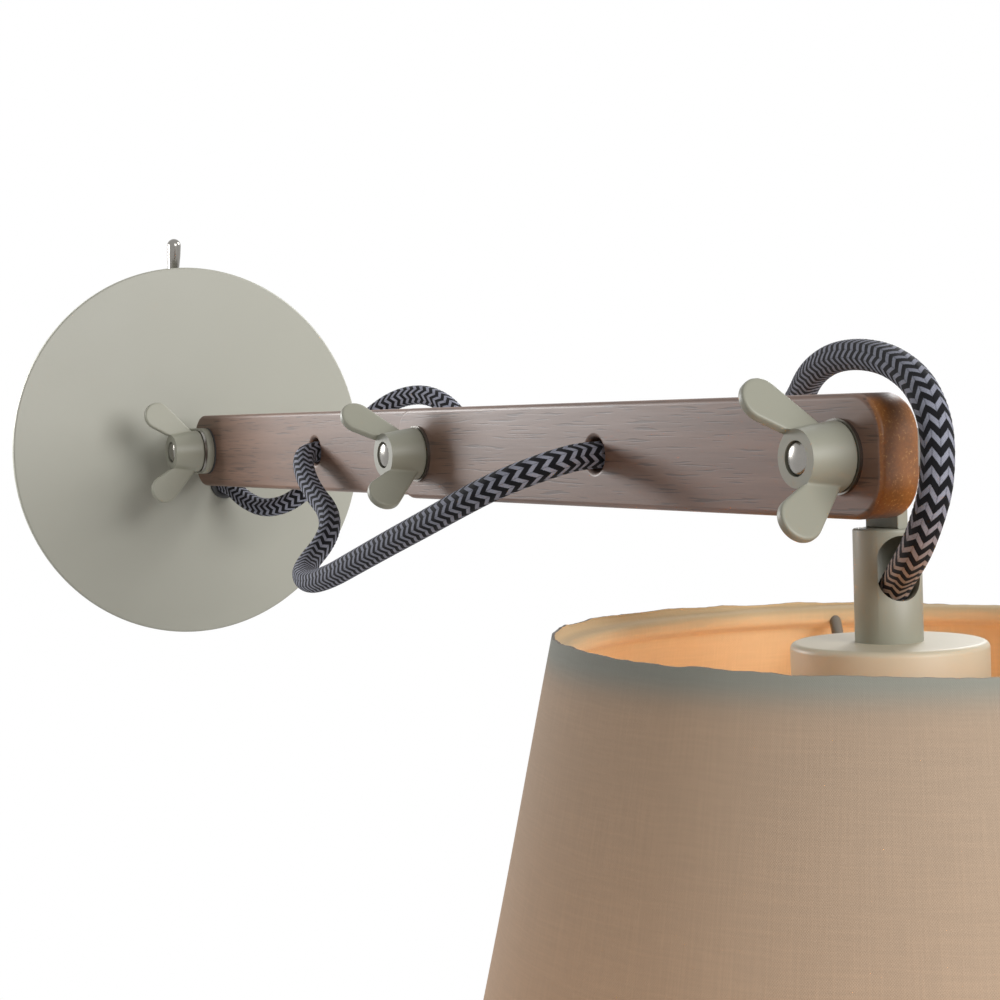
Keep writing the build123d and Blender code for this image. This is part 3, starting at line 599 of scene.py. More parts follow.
def soften(node, width):
    """Breaks the sharp edges of a part of the frame."""
    part = frame["nodes"][node]
    weld = part.modifiers.new("weld", "WELD")
    weld.merge_threshold = 0.001 * MM
    bevel = part.modifiers.new("edges", "BEVEL")
    bevel.width = width
    bevel.segments = 2
    bevel.limit_method = "ANGLE"
    bevel.angle_limit = math.radians(40)
    bevel.harden_normals = True


def new_piece(name, mesh, material, body, replaced=()):
    """Puts a finished mesh in the scene as a piece that rides on a body."""
    if material is not None:
        mesh.materials.clear()
        mesh.materials.append(material)
    piece = bpy.data.objects.new(name, mesh)
    bpy.context.scene.collection.objects.link(piece)
    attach(piece, body)
    if replaced:
        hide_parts(*replaced)
    return piece


def smooth(mesh, angle=35):
    """Smooth shading, with edges sharper than the angle kept."""
    mesh.shade_smooth()
    mesh.set_sharp_from_angle(angle=math.radians(angle))
    return mesh


def evaluated(mesh, *modifiers):
    """The mesh after a stack of modifiers, each given as (type, settings)."""
    holder = bpy.data.objects.new("holder", mesh)
    bpy.context.scene.collection.objects.link(holder)
    for kind, settings in modifiers:
        modifier = holder.modifiers.new(kind.lower(), kind)
        for name, value in settings.items():
            setattr(modifier, name, value)
    graph = bpy.context.evaluated_depsgraph_get()
    graph.update()
    made = bpy.data.meshes.new_from_object(holder.evaluated_get(graph))
    bpy.data.objects.remove(holder)
    return made


def joined(*meshes):
    """Several meshes as one, as they lie."""
    form = bmesh.new()
    for mesh in meshes:
        form.from_mesh(mesh)
    made = bpy.data.meshes.new("joined")
    form.to_mesh(made)
    form.free()
    return made


def without(mesh, *cutters):
    """The mesh with each cutter's volume taken away."""
    for cutter in cutters:
        tool = bpy.data.objects.new("cutter", cutter)
        bpy.context.scene.collection.objects.link(tool)
        settings = {"operation": "DIFFERENCE", "solver": "EXACT", "object": tool}
        mesh = evaluated(mesh, ("BOOLEAN", settings))
        bpy.data.objects.remove(tool)
    return mesh


def arc(centre, radius, start, sweep, steps):
    """Points along an arc, from the angle start and through the angle sweep."""
    x, y = centre
    angles = (start + sweep * step / steps for step in range(steps + 1))
    return [(x + radius * math.cos(angle), y + radius * math.sin(angle)) for angle in angles]


def rounded(points, radius, closed=True, steps=6):
    """Flat points with each corner swung through an arc; radius is one number or one a corner."""
    corners = [Vector(point) for point in points]
    radii = radius if isinstance(radius, (list, tuple)) else [radius] * len(corners)
    made = []
    for index, (corner, size) in enumerate(zip(corners, radii)):
        ends = not closed and index in (0, len(corners) - 1)
        before = corners[index - 1] - corner
        after = corners[(index + 1) % len(corners)] - corner
        if ends or size <= 0 or before.length == 0 or after.length == 0:
            made.append(tuple(corner))
            continue
        half = before.angle(after) / 2
        reach = min(size / math.tan(half), 0.48 * min(before.length, after.length))
        size = reach * math.tan(half)
        before.normalize()
        after.normalize()
        centre = corner + (before + after).normalized() * size / math.sin(half)
        first = corner + before * reach - centre
        last = corner + after * reach - centre
        start = math.atan2(first.y, first.x)
        turn = math.atan2(last.y, last.x) - start
        turn = (turn + math.pi) % FULL_TURN - math.pi
        made += arc(centre, size, start, turn, steps)
    return made


def turned(name, profile_at, centre, axis=UP, steps=128, inner_from=None):
    """A closed profile swept round an axis. profile_at is a list of (radius, height), or a function
    of the angle that gives one. Faces from profile point inner_from on take the second material."""
    profile = profile_at if callable(profile_at) else lambda angle: profile_at
    tilt = UP.rotation_difference(axis)
    form = bmesh.new()
    cloth = form.loops.layers.uv.new("turned")
    rows = []
    for step in range(steps):
        angle = FULL_TURN * step / steps
        cosine, sine = math.cos(angle), math.sin(angle)
        rows.append([
            form.verts.new(centre + tilt @ Vector((radius * cosine, radius * sine, height)))
            for radius, height in profile(angle)
        ])
    shape = profile(0.0)
    reach = max(radius for radius, height in shape)
    lengths = [0.0]
    for before, after in zip(shape, shape[1:] + shape[:1]):
        lengths.append(lengths[-1] + math.dist(before, after))
    on_axis = shape[0][0] < TOUCHING and shape[-1][0] < TOUCHING
    count = len(shape) - 1 if on_axis else len(shape)
    for step in range(steps):
        here, there = rows[step], rows[(step + 1) % steps]
        for index in range(count):
            nearby = (index + 1) % len(shape)
            face = form.faces.new((here[index], there[index], there[nearby], here[nearby]))
            around = (step, step + 1, step + 1, step)
            along = (index, index, index + 1, index + 1)
            for loop, turn, place in zip(face.loops, around, along):
                loop[cloth].uv = (FULL_TURN * turn / steps * reach, lengths[place])
            if inner_from is not None and index >= inner_from:
                face.material_index = 1
    bmesh.ops.remove_doubles(form, verts=form.verts, dist=TOUCHING)
    bmesh.ops.recalc_face_normals(form, faces=form.faces)
    mesh = bpy.data.meshes.new(name)
    form.to_mesh(mesh)
    form.free()
    return smooth(mesh)


def sheet_cut(name, outline, holes, thickness, edge):
    """A flat piece from an outline with holes in the XY plane, its edges rounded, centred on Z = 0."""
    curve = bpy.data.curves.new(name, "CURVE")
    curve.dimensions = "2D"
    curve.fill_mode = "BOTH"
    curve.extrude = thickness / 2 - edge
    curve.bevel_depth = edge
    curve.bevel_resolution = 3
    curve.offset = -edge
    for loop in (outline, *holes):
        spline = curve.splines.new("POLY")
        spline.points.add(len(loop) - 1)
        for point, (x, y) in zip(spline.points, loop):
            point.co = (x, y, 0, 1)
        spline.use_cyclic_u = True
    holder = bpy.data.objects.new(name, curve)
    mesh = bpy.data.meshes.new_from_object(holder)
    bpy.data.objects.remove(holder)
    form = bmesh.new()
    form.from_mesh(mesh)
    bmesh.ops.remove_doubles(form, verts=form.verts, dist=TOUCHING)
    bmesh.ops.recalc_face_normals(form, faces=form.faces)
    form.to_mesh(mesh)
    form.free()
    return mesh


def circle(radius, centre=(0, 0)):
    """Points round a circle."""
    return arc(centre, radius, 0, FULL_TURN, 48)[:-1]


def standing(x_axis, y_axis, origin):
    """The matrix that puts a flat piece's own X and Y along these directions."""
    z_axis = Vector(x_axis).cross(Vector(y_axis))
    turn = Matrix((x_axis, y_axis, z_axis)).transposed().to_4x4()
    return Matrix.Translation(origin) @ turn


class LAMP_OT_stage(bpy.types.Operator):
    """Make the camera, the plain studio light and the pale floor"""

    bl_idname = "lamp.stage"
    bl_label = "Stage"

    def execute(self, context):
        studio = context.scene.lamp_studio
        context.scene.view_settings.view_transform = "Standard"
        make_camera(studio)
        make_world(studio)
        make_floor(studio)
        area_light("key", studio.key_power, size=1.0,
                   place=(0.3, -2.2, 0.5), target=(0, -0.3, -0.05))
        area_light("side", studio.side_power, size=0.2,
                   place=(0.45, -0.13, 0.3), target=(0, -0.05, 0))
        area_light("rear", studio.rear_power, size=0.13,
                   place=(-0.26, 0.15, 0.1), target=(-0.017, -0.24, 0))
        return {"FINISHED"}


CAMERA_PLACE = Vector((-0.310977, -0.862047, 0.012889))
CAMERA_YAW = -0.4997
CAMERA_PITCH = -0.0425
CAMERA_ROLL = -0.0312


def make_camera(studio):
    """The camera at the photograph's angle: yaw from the wall's normal, then pitch, then roll."""
    level_right = Vector((math.cos(CAMERA_YAW), math.sin(CAMERA_YAW), 0))
    level_ahead = Vector((-math.sin(CAMERA_YAW), math.cos(CAMERA_YAW), 0))
    ahead = level_ahead * math.cos(CAMERA_PITCH) + UP * math.sin(CAMERA_PITCH)
    above = UP * math.cos(CAMERA_PITCH) - level_ahead * math.sin(CAMERA_PITCH)
    right = level_right * math.cos(CAMERA_ROLL) + above * math.sin(CAMERA_ROLL)
    above = above * math.cos(CAMERA_ROLL) - level_right * math.sin(CAMERA_ROLL)
    lens = bpy.data.cameras.new("camera")
    lens.sensor_fit = "HORIZONTAL"
    lens.sensor_width = 36.0
    lens.lens = studio.lens
    lens.clip_start = 0.01
    camera = bpy.data.objects.new("camera", lens)
    bpy.context.scene.collection.objects.link(camera)
    turn = Matrix((right, above, -ahead)).transposed().to_4x4()
    camera.matrix_world = Matrix.Translation(CAMERA_PLACE) @ turn
    bpy.context.scene.camera = camera


def seen_directly(start):
    """1 for rays from the camera or a mirror or through glass, for a plain white background."""
    rays = [start.make("ShaderNodeLightPath", output=name)
            for name in ("Is Camera Ray", "Is Glossy Ray", "Is Transmission Ray")]
    return rays[0].larger(rays[1]).larger(rays[2])


def make_world(studio):
    """An even pale light that shows as plain white."""
    world = bpy.data.worlds.new("studio")
    bpy.context.scene.world = world
    world.use_nodes = True
    tree = world.node_tree
    tree.nodes.clear()
    start = Signal(tree)
    white = (1.0, 1.0, 1.0, 1.0)
    lit = start.make("ShaderNodeBackground", {}, {"Color": white, "Strength": studio.ambient})
    seen = start.make("ShaderNodeBackground", {}, {"Color": white, "Strength": 1.0})
    mixed = start.make("ShaderNodeMixShader", {}, {0: seen_directly(start), 1: lit, 2: seen})
    start.make("ShaderNodeOutputWorld", {}, {"Surface": mixed}, output=None)


def make_floor(studio):
    """A pale round floor under the lamp that fades into the white background."""
    reach = 2.4
    fade_start = 0.35
    fade_end = 0.85
    form = bmesh.new()
    bmesh.ops.create_circle(form, cap_ends=True, segments=96, radius=reach)
    mesh = bpy.data.meshes.new("floor")
    form.to_mesh(mesh)
    form.free()
    floor = bpy.data.objects.new("floor", mesh)
    bpy.context.scene.collection.objects.link(floor)
    floor.location = (0, middle("lower_arm").y, CAD_BOUNDS[0].z - studio.floor_drop)
    material = bpy.data.materials.new("pale_floor")
    material.use_nodes = True
    tree = material.node_tree
    tree.nodes.clear()
    start = Signal(tree)
    pale = start.make("ShaderNodeBsdfDiffuse", {}, {"Color": (0.86, 0.86, 0.86, 1.0)})
    white = start.make("ShaderNodeEmission", {}, {"Color": (1.0, 1.0, 1.0, 1.0), "Strength": 1.0})
    away = place_in(start).vector("LENGTH", output="Value").step(fade_start, fade_end)
    shown = away * seen_directly(start)
    mixed = start.make("ShaderNodeMixShader", {}, {0: shown, 1: pale, 2: white})
    start.make("ShaderNodeOutputMaterial", {}, {"Surface": mixed}, output=None)
    mesh.materials.append(material)


def area_light(name, power, size, place, target):
    """A square soft lamp that points at a target."""
    light = bpy.data.lights.new(name, "AREA")
    light.shape = "SQUARE"
    light.size = size
    light.energy = power
    lamp = bpy.data.objects.new(name, light)
    bpy.context.scene.collection.objects.link(lamp)
    lamp.location = place
    lamp.rotation_mode = "QUATERNION"
    lamp.rotation_quaternion = (Vector(target) - Vector(place)).to_track_quat("-Z", "Y")
    lamp.visible_camera = False


class LAMP_OT_canopy(bpy.types.Operator):
    """Make the canopy's round plate and finish the parts behind it"""

    bl_idname = "lamp.canopy"
    bl_label = "Canopy"

    def execute(self, context):
        make_plate()
        make_cord_bush()
        dress("canopy_housing", paint_finish())
        dress("wall_fork", paint_finish("cast_paint"))
        soften("wall_fork", 0.5 * MM)
        for node in ("mounting_bracket", "housing_side_screws", "fork_screws"):
            dress(node, zinc_finish())
        for node in ("earth_screw", "terminal_screws"):
            dress(node, brass_finish())
        dress("cord_clamp", black_plastic())
        dress("terminal_block", plastic_finish("white_plastic", display(226, 224, 214), 0.4))
        soften("terminal_block", 0.4 * MM)
        soften("mounting_bracket", 0.3 * MM)
        return {"FINISHED"}


def make_plate():
    """The canopy's flat round plate, with a softly rolled rim."""
    back = -high("canopy_plate").y
    front = -low("canopy_plate").y
    radius = half_width("canopy_plate")
    back_edge = 0.35 * MM
    front_edge = 0.8 * MM
    bush_lip = 0.85 * MM
    screw_head = 3.5 * MM
    screw_hole = 2.15 * MM
    spare = 2 * MM
    outline = [(0, back), (radius, back), (radius, front), (0, front)]
    profile = rounded(outline, [0, back_edge, front_edge, 0], closed=False)
    disc = turned("canopy_plate_disc", profile, ORIGIN, OUT, steps=256)
    bush = middle("cord_outlet_bush")
    holes = [(bush.x, bush.z, half_width("cord_outlet_bush") - bush_lip)]
    fixing = (high("fork_screws").z + low("fork_screws").z) / 2
    spread = high("fork_screws").z - fixing - screw_head
    holes += [(0, fixing + spread, screw_hole), (0, fixing - spread, screw_hole)]
    cutters = []
    for x, z, size in holes:
        rod = [(0, back - spare), (size, back - spare), (size, front + spare), (0, front + spare)]
        cutters.append(turned("hole", rod, Vector((x, 0, z)), OUT, steps=48))
    mesh = smooth(without(disc, *cutters), 30)
    new_piece("canopy_front_plate", mesh, paint_finish(), "wall", ["canopy_plate"])


def make_cord_bush():
    """The moulded bush round the cord where it leaves the plate."""
    bush = middle("cord_outlet_bush")
    back = -high("cord_outlet_bush").y
    front = -low("cord_outlet_bush").y
    flange = half_width("cord_outlet_bush")
    neck = flange - 1.0 * MM
    clearance = 0.15 * MM
    bore = sizes().cord_diameter / 2 + clearance
    seat = -low("canopy_plate").y
    edge = 0.3 * MM
    lip = 1.0 * MM
    mouth = 0.9 * MM
    outline = [(bore, back), (neck, back), (neck, seat), (flange, seat), (flange, front), (bore, front)]
    profile = rounded(outline, [0, edge, 0, edge, lip, mouth])
    mesh = turned("bush", profile, Vector((bush.x, 0, bush.z)), OUT, steps=64)
    new_piece("cord_bush", mesh, black_plastic(), "wall", ["cord_outlet_bush"])


class LAMP_OT_switch(bpy.types.Operator):
    """Make the toggle switch on top of the canopy"""

    bl_idname = "lamp.switch"
    bl_label = "Toggle switch"

    def execute(self, context):
        make_bushing()
        make_lever()
        dress("switch_nut", chrome_finish())
        soften("switch_nut", 0.35 * MM)
        dress("switch_body", black_plastic())
        dress("switch_terminals", brass_finish())
        return {"FINISHED"}


def make_bushing():
    """The switch's threaded bushing."""
    axis = Vector((0, middle("switch_bushing").y, 0))
    bottom = low("switch_bushing").z
    top = high("switch_bushing").z
    radius = half_width("switch_bushing")
    bore = 3.6 * MM
    pitch = 0.75 * MM
    depth = 0.35 * MM
    chamfer = 0.5 * MM
    thread = []
    place = high("switch_nut").z + 0.1 * MM
    while place + pitch < top - chamfer:
        thread += [(radius, place), (radius - depth, place + pitch / 2)]
        place += pitch
    outline = [(bore, bottom), (radius, bottom), *thread, (radius, top - chamfer)]
    outline += [(radius - chamfer, top), (bore, top)]
    mesh = turned("bushing", outline, axis, steps=72)
    new_piece("threaded_bushing", mesh, chrome_finish(), "wall", ["switch_bushing"])


def make_lever():
    """The bat-shaped lever, with a ball at its root."""
    pivot = PIVOTS["toggle"]
    top = high("switch_lever")
    tip_radius = 2.8 * MM
    reach = top.z - pivot.z
    lean = math.radians(-10.0)
    axis = Vector((0, math.sin(lean), math.cos(lean)))
    length = (reach - tip_radius) / axis.z + tip_radius
    ball = 2.9 * MM
    root = 1.9 * MM
    quarter = math.pi / 2
    profile = arc((0, 0), ball, -quarter, 1.5 * quarter, 18)
    profile += [(root, ball), (root * 1.02, ball + 2 * MM)]
    profile.append((tip_radius * 0.985, length - tip_radius * 2.4))
    profile += arc((0, length - tip_radius), tip_radius, 0, quarter, 12)
    mesh = smooth(turned("lever", profile, pivot, axis, steps=64), 50)
    new_piece("toggle_lever", mesh, chrome_finish(), "lever", ["switch_lever"])


PIVOT_HOLE = 4.03 * MM


class LAMP_OT_arms(bpy.types.Operator):
    """Make the two wooden arms"""

    bl_idname = "lamp.arms"
    bl_label = "Wooden arms"

    def execute(self, context):
        for body, pivots in (("lower", (WALL_PIVOT, ELBOW)), ("upper", (ELBOW, HEAD_PIVOT))):
            make_arm(body, pivots)
        return {"FINISHED"}


def make_arm(body, pivots):
    """One arm: a rounded bar with two pivot holes and the cord's hole."""
    node = body + "_arm"
    lowest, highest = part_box(node)
    centre = (lowest + highest) / 2
    half_length = (highest.y - lowest.y) / 2
    half_height = (highest.z - lowest.z) / 2
    corners = [(-half_length, -half_height), (half_length, -half_height),
               (half_length, half_height), (-half_length, half_height)]
    corner_radius = 10.0 * MM
    cord_hole = 4.6 * MM
    outline = rounded(corners, corner_radius, steps=16)
    holes = [circle(PIVOT_HOLE, (pivot.y - centre.y, 0)) for pivot in pivots]
    holes.append(circle(cord_hole))
    mesh = sheet_cut(node, outline, holes, highest.x - lowest.x, sizes().wood_edge)
    mesh.transform(standing((0, 1, 0), (0, 0, 1), centre))
    mesh = evaluated(smooth(mesh, 60), ("WEIGHTED_NORMAL", {"weight": 100, "keep_sharp": True}))
    new_piece(body + "_wooden_arm", mesh, wood_finish(), body, [node])


class LAMP_OT_pivots(bpy.types.Operator):
    """Make the pivots' bolts and finish their washers"""

    bl_idname = "lamp.pivots"
    bl_label = "Pivot bolts"

    def execute(self, context):
        bolts = {"wall_pivot_bolt": "wall", "elbow_bolt": "lower", "head_pivot_bolt": "upper"}
        for node, body in bolts.items():
            make_bolt(node, body)
        for node in ("wall_pivot_washers", "elbow_washers", "head_pivot_washers"):
            dress(node, chrome_finish())
        for node in ("wall_friction_washers", "elbow_friction_washer", "head_friction_washer"):
            dress(node, black_plastic())
        return {"FINISHED"}


def make_bolt(node, body):
    """A bolt with a mushroom head on the right and a polished dome on the left."""
    lowest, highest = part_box(node)
    centre = Vector((0, (lowest.y + highest.y) / 2, 0))
    head = (highest.z - lowest.z) / 2
    shank = 3.95 * MM
    head_height = 4.2 * MM
    crown = 1.6 * MM
    edge = 0.4 * MM
    proud = 1.15 * MM
    dome = 1.3 * MM
    steps = 12
    seat = -(highest.x - head_height)
    end = -lowest.x + proud
    profile = [(0, seat - head_height)]
    for step in range(1, steps + 1):
        share = step / steps
        profile.append((head * share, seat - head_height + crown * share ** 2))
    profile += [(head, seat - edge), (head - edge, seat), (shank, seat), (shank, end - dome)]
    for step in range(1, steps + 1):
        angle = math.pi / 2 * step / steps
        profile.append((shank * math.cos(angle), end - dome + dome * math.sin(angle)))
    mesh = turned(node, profile, centre, LEFT, steps=72)
    new_piece(node + "_plated", mesh, chrome_finish(), body, [node])


class LAMP_OT_wing_nuts(bpy.types.Operator):
    """Make the three cast wing nuts"""

    bl_idname = "lamp.wing_nuts"
    bl_label = "Wing nuts"

    def execute(self, context):
        cast = cast_nut()
        for place, turn in (("wall", 10.0), ("elbow", 38.0), ("head", 27.0)):
            node = place + "_wing_nut"
            mesh = cast.copy()
            lean = math.radians(turn)
            radial = Vector((0, math.sin(lean), math.cos(lean)))
            base = Vector((high(node).x, middle(node).y, 0))
            mesh.transform(standing(radial, LEFT.cross(radial), base))
            name = place + "_painted_nut"
            new_piece(name, mesh, paint_finish("cast_paint"), place + "_nut", [node])
        return {"FINISHED"}


def touch_point(point, centre, radius, side):
    """Where a line from a point touches a circle, on the side +1 or -1."""
    reach = math.dist(point, centre)
    heading = math.atan2(centre[1] - point[1], centre[0] - point[0])
    run = math.sqrt(reach ** 2 - radius ** 2)
    angle = heading + side * math.asin(radius / reach)
    return (point[0] + run * math.cos(angle), point[1] + run * math.sin(angle))


def cast_nut():
    """A wing nut with its base at Z = 0, its wings along X, and all its edges soft as cast."""
    bore = 4.05 * MM
    base = 8.2 * MM
    front = 6.6 * MM
    height = 11.0 * MM
    spare = 0.45 * MM
    taper = 0.05 * MM
    outline = [(bore, 0), (base, 0), (front - taper, height + spare), (bore, height + spare)]
    hub = turned("hub", rounded(outline, [0, 0.4 * MM, 0.1 * MM, 0]), ORIGIN, steps=120)
    lobe = (14.6 * MM, 15.2 * MM)
    lobe_radius = 5.3 * MM
    inset = 1.2 * MM
    low_root = (base - inset, inset)
    high_root = (front - inset, height - inset)
    low_touch = touch_point(low_root, lobe, lobe_radius, -1)
    high_touch = touch_point(high_root, lobe, lobe_radius, 1)
    start = math.atan2(low_touch[1] - lobe[1], low_touch[0] - lobe[0])
    end = math.atan2(high_touch[1] - lobe[1], high_touch[0] - lobe[0])
    round_end = arc(lobe, lobe_radius, start, (end - start) % FULL_TURN, 28)
    inner = bore + inset
    wing_outline = [(inner, inset), low_root, *round_end, high_root, (inner, height - inset)]
    wing_thickness = 2.5 * MM
    wing_edge = 0.6 * MM
    wing = sheet_cut("wing", wing_outline, [], wing_thickness, wing_edge)
    wing.transform(standing((1, 0, 0), UP, ORIGIN))
    other = wing.copy()
    other.transform(Matrix.Rotation(math.pi, 4, "Z"))
    cast = evaluated(
        joined(hub, wing, other),
        ("REMESH", {"mode": "VOXEL", "voxel_size": sizes().nut_grain, "use_smooth_shade": True}),
        ("SMOOTH", {"factor": 0.5, "iterations": 4}),
    )
    reach_of_the_front = front + 0.3 * MM
    reach_of_the_bore = bore + 0.3 * MM
    soft_mouth = 0.5 * MM
    for vertex in cast.vertices:
        reach = math.hypot(vertex.co.x, vertex.co.y)
        if reach < reach_of_the_front and vertex.co.z > height:
            vertex.co.z = height
        if reach < reach_of_the_bore and soft_mouth < vertex.co.z:
            vertex.co.x *= bore / reach
            vertex.co.y *= bore / reach
    return smooth(cast, 40)


NIPPLE_HOLE = 4.95 * MM


class LAMP_OT_stem(bpy.types.Operator):
    """Make the stem under the last pivot, with its slot for the cord"""

    bl_idname = "lamp.stem"
    bl_label = "Stem"

    def execute(self, context):
        make_stem_eye()
        make_stem_tube()
        for node in ("cord_grip", "threaded_nipple", "stem_locknut"):
            dress(node, zinc_finish())
        soften("stem_locknut", 0.3 * MM)
        return {"FINISHED"}


def make_stem_eye():
    """The flat eye on the pivot and the plug that closes the tube under it."""
    lowest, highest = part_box("stem_eye")
    tube_top = high("stem_tube").z
    eye = highest.z
    half = 5.75 * MM
    gap = 0.5 * MM
    thickness = 3.0 * MM
    edge = 0.35 * MM
    plug_radius = 6.1 * MM
    meet = math.asin(half / eye)
    outline = arc((0, 0), eye, meet - math.pi / 2, FULL_TURN - 2 * meet, 40)
    outline += [(-half, tube_top), (half, tube_top)]
    flat = sheet_cut("eye", outline, [circle(PIVOT_HOLE)], thickness, edge)
    left = high("upper_arm").x + gap
    flat.transform(standing((0, 1, 0), UP, Vector((left + thickness / 2, HEAD_PIVOT.y, 0))))
    rod = [(0, lowest.z), (plug_radius, lowest.z), (plug_radius, tube_top), (0, tube_top)]
    mesh = smooth(joined(flat, turned("plug", rod, STEM_AXIS)), 40)
    new_piece("stem_eye_painted", mesh, paint_finish("cast_paint"), "head", ["stem_eye"])


def make_stem_tube():
    """The round tube with the cord's slot."""
    bottom = low("stem_tube").z
    top = high("stem_tube").z
    radius = half_width("stem_tube")
    wall = 1.5 * MM
    bore = radius - wall
    outline = [(NIPPLE_HOLE, bottom), (radius, bottom), (radius, top), (bore, top),
               (bore, bottom + wall), (NIPPLE_HOLE, bottom + wall)]
    tube = turned("tube", rounded(outline, [0, 0, 0.5 * MM, 0.4 * MM, 0, 0]), STEM_AXIS, steps=160)
    slot_half = 5.1 * MM
    slot_top = -18.0 * MM
    slot_bottom = -32.6 * MM
    slot_turn = math.radians(14.0)
    slot_depth = radius + 4 * MM
    sharp = 0.01 * MM
    corners = [(-slot_half, slot_bottom), (slot_half, slot_bottom),
               (slot_half, slot_top), (-slot_half, slot_top)]
    slot = sheet_cut("slot", rounded(corners, slot_half * 0.999, steps=20), [], slot_depth, sharp)
    facing = Vector((-math.sin(slot_turn), -math.cos(slot_turn), 0))
    slot.transform(standing(UP.cross(facing), UP, STEM_AXIS + facing * slot_depth / 2))
    lip = {"width": 0.22 * MM, "segments": 2,
           "limit_method": "ANGLE", "angle_limit": math.radians(50)}
    mesh = smooth(evaluated(without(tube, slot), ("BEVEL", lip)), 30)
    new_piece("stem_tube_painted", mesh, paint_finish("cast_paint"), "head", ["stem_tube"])


class LAMP_OT_lampholder(bpy.types.Operator):
    """Make the lampholder's cup and finish what it holds"""

    bl_idname = "lamp.lampholder"
    bl_label = "Lampholder"

    def execute(self, context):
        make_cup()
        dress("lampholder_body", black_plastic())
        dress("shade_ring_nut", black_plastic())
        soften("shade_ring_nut", 0.4 * MM)
        dress("lampholder_thread", brass_finish())
        dress("centre_contact", brass_finish())
        return {"FINISHED"}


def make_cup():
    """The painted cup over the lampholder."""
    lowest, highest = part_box("lampholder_cup")
    radius = half_width("lampholder_cup")
    wall = 1.2 * MM
    shoulder = 1.5 * MM
    edge = 0.4 * MM
    inside = 0.5 * MM
    top = highest.z
    bottom = lowest.z
    outline = [(NIPPLE_HOLE, top), (radius, top), (radius, bottom), (radius - wall, bottom),
               (radius - wall, top - wall), (NIPPLE_HOLE, top - wall)]
    profile = rounded(outline, [0, shoulder, edge, edge, inside, 0])
    mesh = turned("cup", profile, STEM_AXIS, steps=192)
    finish = paint_finish("cup_paint")
    new_piece("painted_cup", mesh, finish, "head", ["lampholder_cup"])


class LAMP_OT_shade(bpy.types.Operator):
    """Make the linen shade with its hems, and finish its wires"""

    bl_idname = "lamp.shade"
    bl_label = "Shade"

    def execute(self, context):
        cloth = make_cloth()
        hems = [make_top_roll(), make_bottom_hem()]
        dress("shade_frame", wire_finish())
        dress("shade_bottom_wire", wire_finish())
        return {"FINISHED"}


def cone_radius(height):
    """The cloth's outer radius at a height."""
    return SHADE_NARROW + (SHADE_WIDE - SHADE_NARROW) * (SHADE_TOP - height) / (SHADE_TOP - SHADE_BOTTOM)


def wander(angle, seed, count=3.0):
    """A smooth value from about -1 to 1 that comes round on itself."""
    turn = Vector((math.cos(angle) * count, math.sin(angle) * count, seed))
    return noise.noise(turn) * 2


def rim_height(angle):
    """Height of the cloth's upper edge, which was trimmed a little slanted and not quite straight."""
    slant = WIRE_REACH * (0.014 * math.sin(angle) - 0.0192 * math.cos(angle))
    stray = wander(angle, 1.7, 7.0) + wander(angle, 6.3, 34.0) * 0.35
    return WIRE_HEIGHT + sizes().rim_rise + slant + stray * sizes().edge_waviness


def make_cloth():
    """The cone of lined cloth, linen outside and lining inside, with a trimmed upper edge."""
    thickness = sizes().cloth_thickness
    rows = 48
    end = SHADE_BOTTOM - 0.6 * MM
    unevenness = 0.25 * MM
    edge_zone = SHADE_TOP - 4 * MM

    def profile(angle):
        outside = []
        upper = rim_height(angle)
        for row in range(rows + 1):
            height = upper + (end - upper) * row / rows
            belly = wander(angle, 0.03 * row, 2.2) * unevenness * math.sin(math.pi * row / rows)
            outside.append((cone_radius(height) + belly, height))
        inside = [(radius - thickness, height) for radius, height in reversed(outside)]
        return outside + inside

    mesh = turned("cloth", profile, STEM_AXIS, steps=480, inner_from=rows)
    for face in mesh.polygons:
        if face.normal.z > 0.7 and face.center.z > edge_zone:
            face.material_index = 2
    mesh.materials.append(linen_finish("linen_outside", colours().linen, 0.17, band=colours().hem))
    mesh.materials.append(lining_finish())
    mesh.materials.append(linen_finish("linen_edge", shade_of(colours().linen, 0.3), 0.02))
    return new_piece("shade_cloth", mesh, None, "head", ["shade_fabric"])


def lining_finish():
    """Cloth of the shade's inside, with the bulb's light painted into it as a glow."""
    return linen_finish("linen_lining", colours().lining, 0.12)


def thin_shell(path, thickness):
    """A closed profile of a strip of cloth that follows a flat path, its edge on the path."""
    inner = []
    for index, point in enumerate(path):
        before = Vector(path[max(index - 1, 0)])
        after = Vector(path[min(index + 1, len(path) - 1)])
        along = (after - before).normalized()
        inner.append((point[0] - along.y * thickness, point[1] + along.x * thickness))
    return list(path) + inner[::-1]


STRIP_THICKNESS = 0.4 * MM


def make_top_roll():
    """The lining's edge, rolled round the top wire and glued down inside."""
    skin = sizes().cloth_thickness
    wire = WIRE_HEIGHT
    ring = WIRE_REACH - 1.5 * MM

    def profile(angle):
        stray = wander(angle, 4.4, 8.0) * sizes().edge_waviness
        upper = rim_height(angle) - 0.5 * MM
        tuck = wire - 3.4 * MM
        end = wire - 6.0 * MM + stray
        path = [
            (cone_radius(upper) - skin - 0.05 * MM, upper),
            (ring + 0.6 * MM, wire + 2.3 * MM),
            (ring - 2.3 * MM, wire + 1.4 * MM),
            (ring - 2.2 * MM, wire - 1.9 * MM),
            (cone_radius(tuck) - skin - 0.2 * MM, tuck),
            (cone_radius(end) - skin - 0.1 * MM, end),
        ]
        bends = [0, 2.0 * MM, 1.8 * MM, 1.8 * MM, 1.5 * MM, 0]
        return thin_shell(rounded(path, bends, closed=False, steps=5), STRIP_THICKNESS)

    mesh = smooth(turned("top_roll", profile, STEM_AXIS, steps=360), 60)
    return new_piece("shade_top_roll", mesh, lining_finish(), "head")


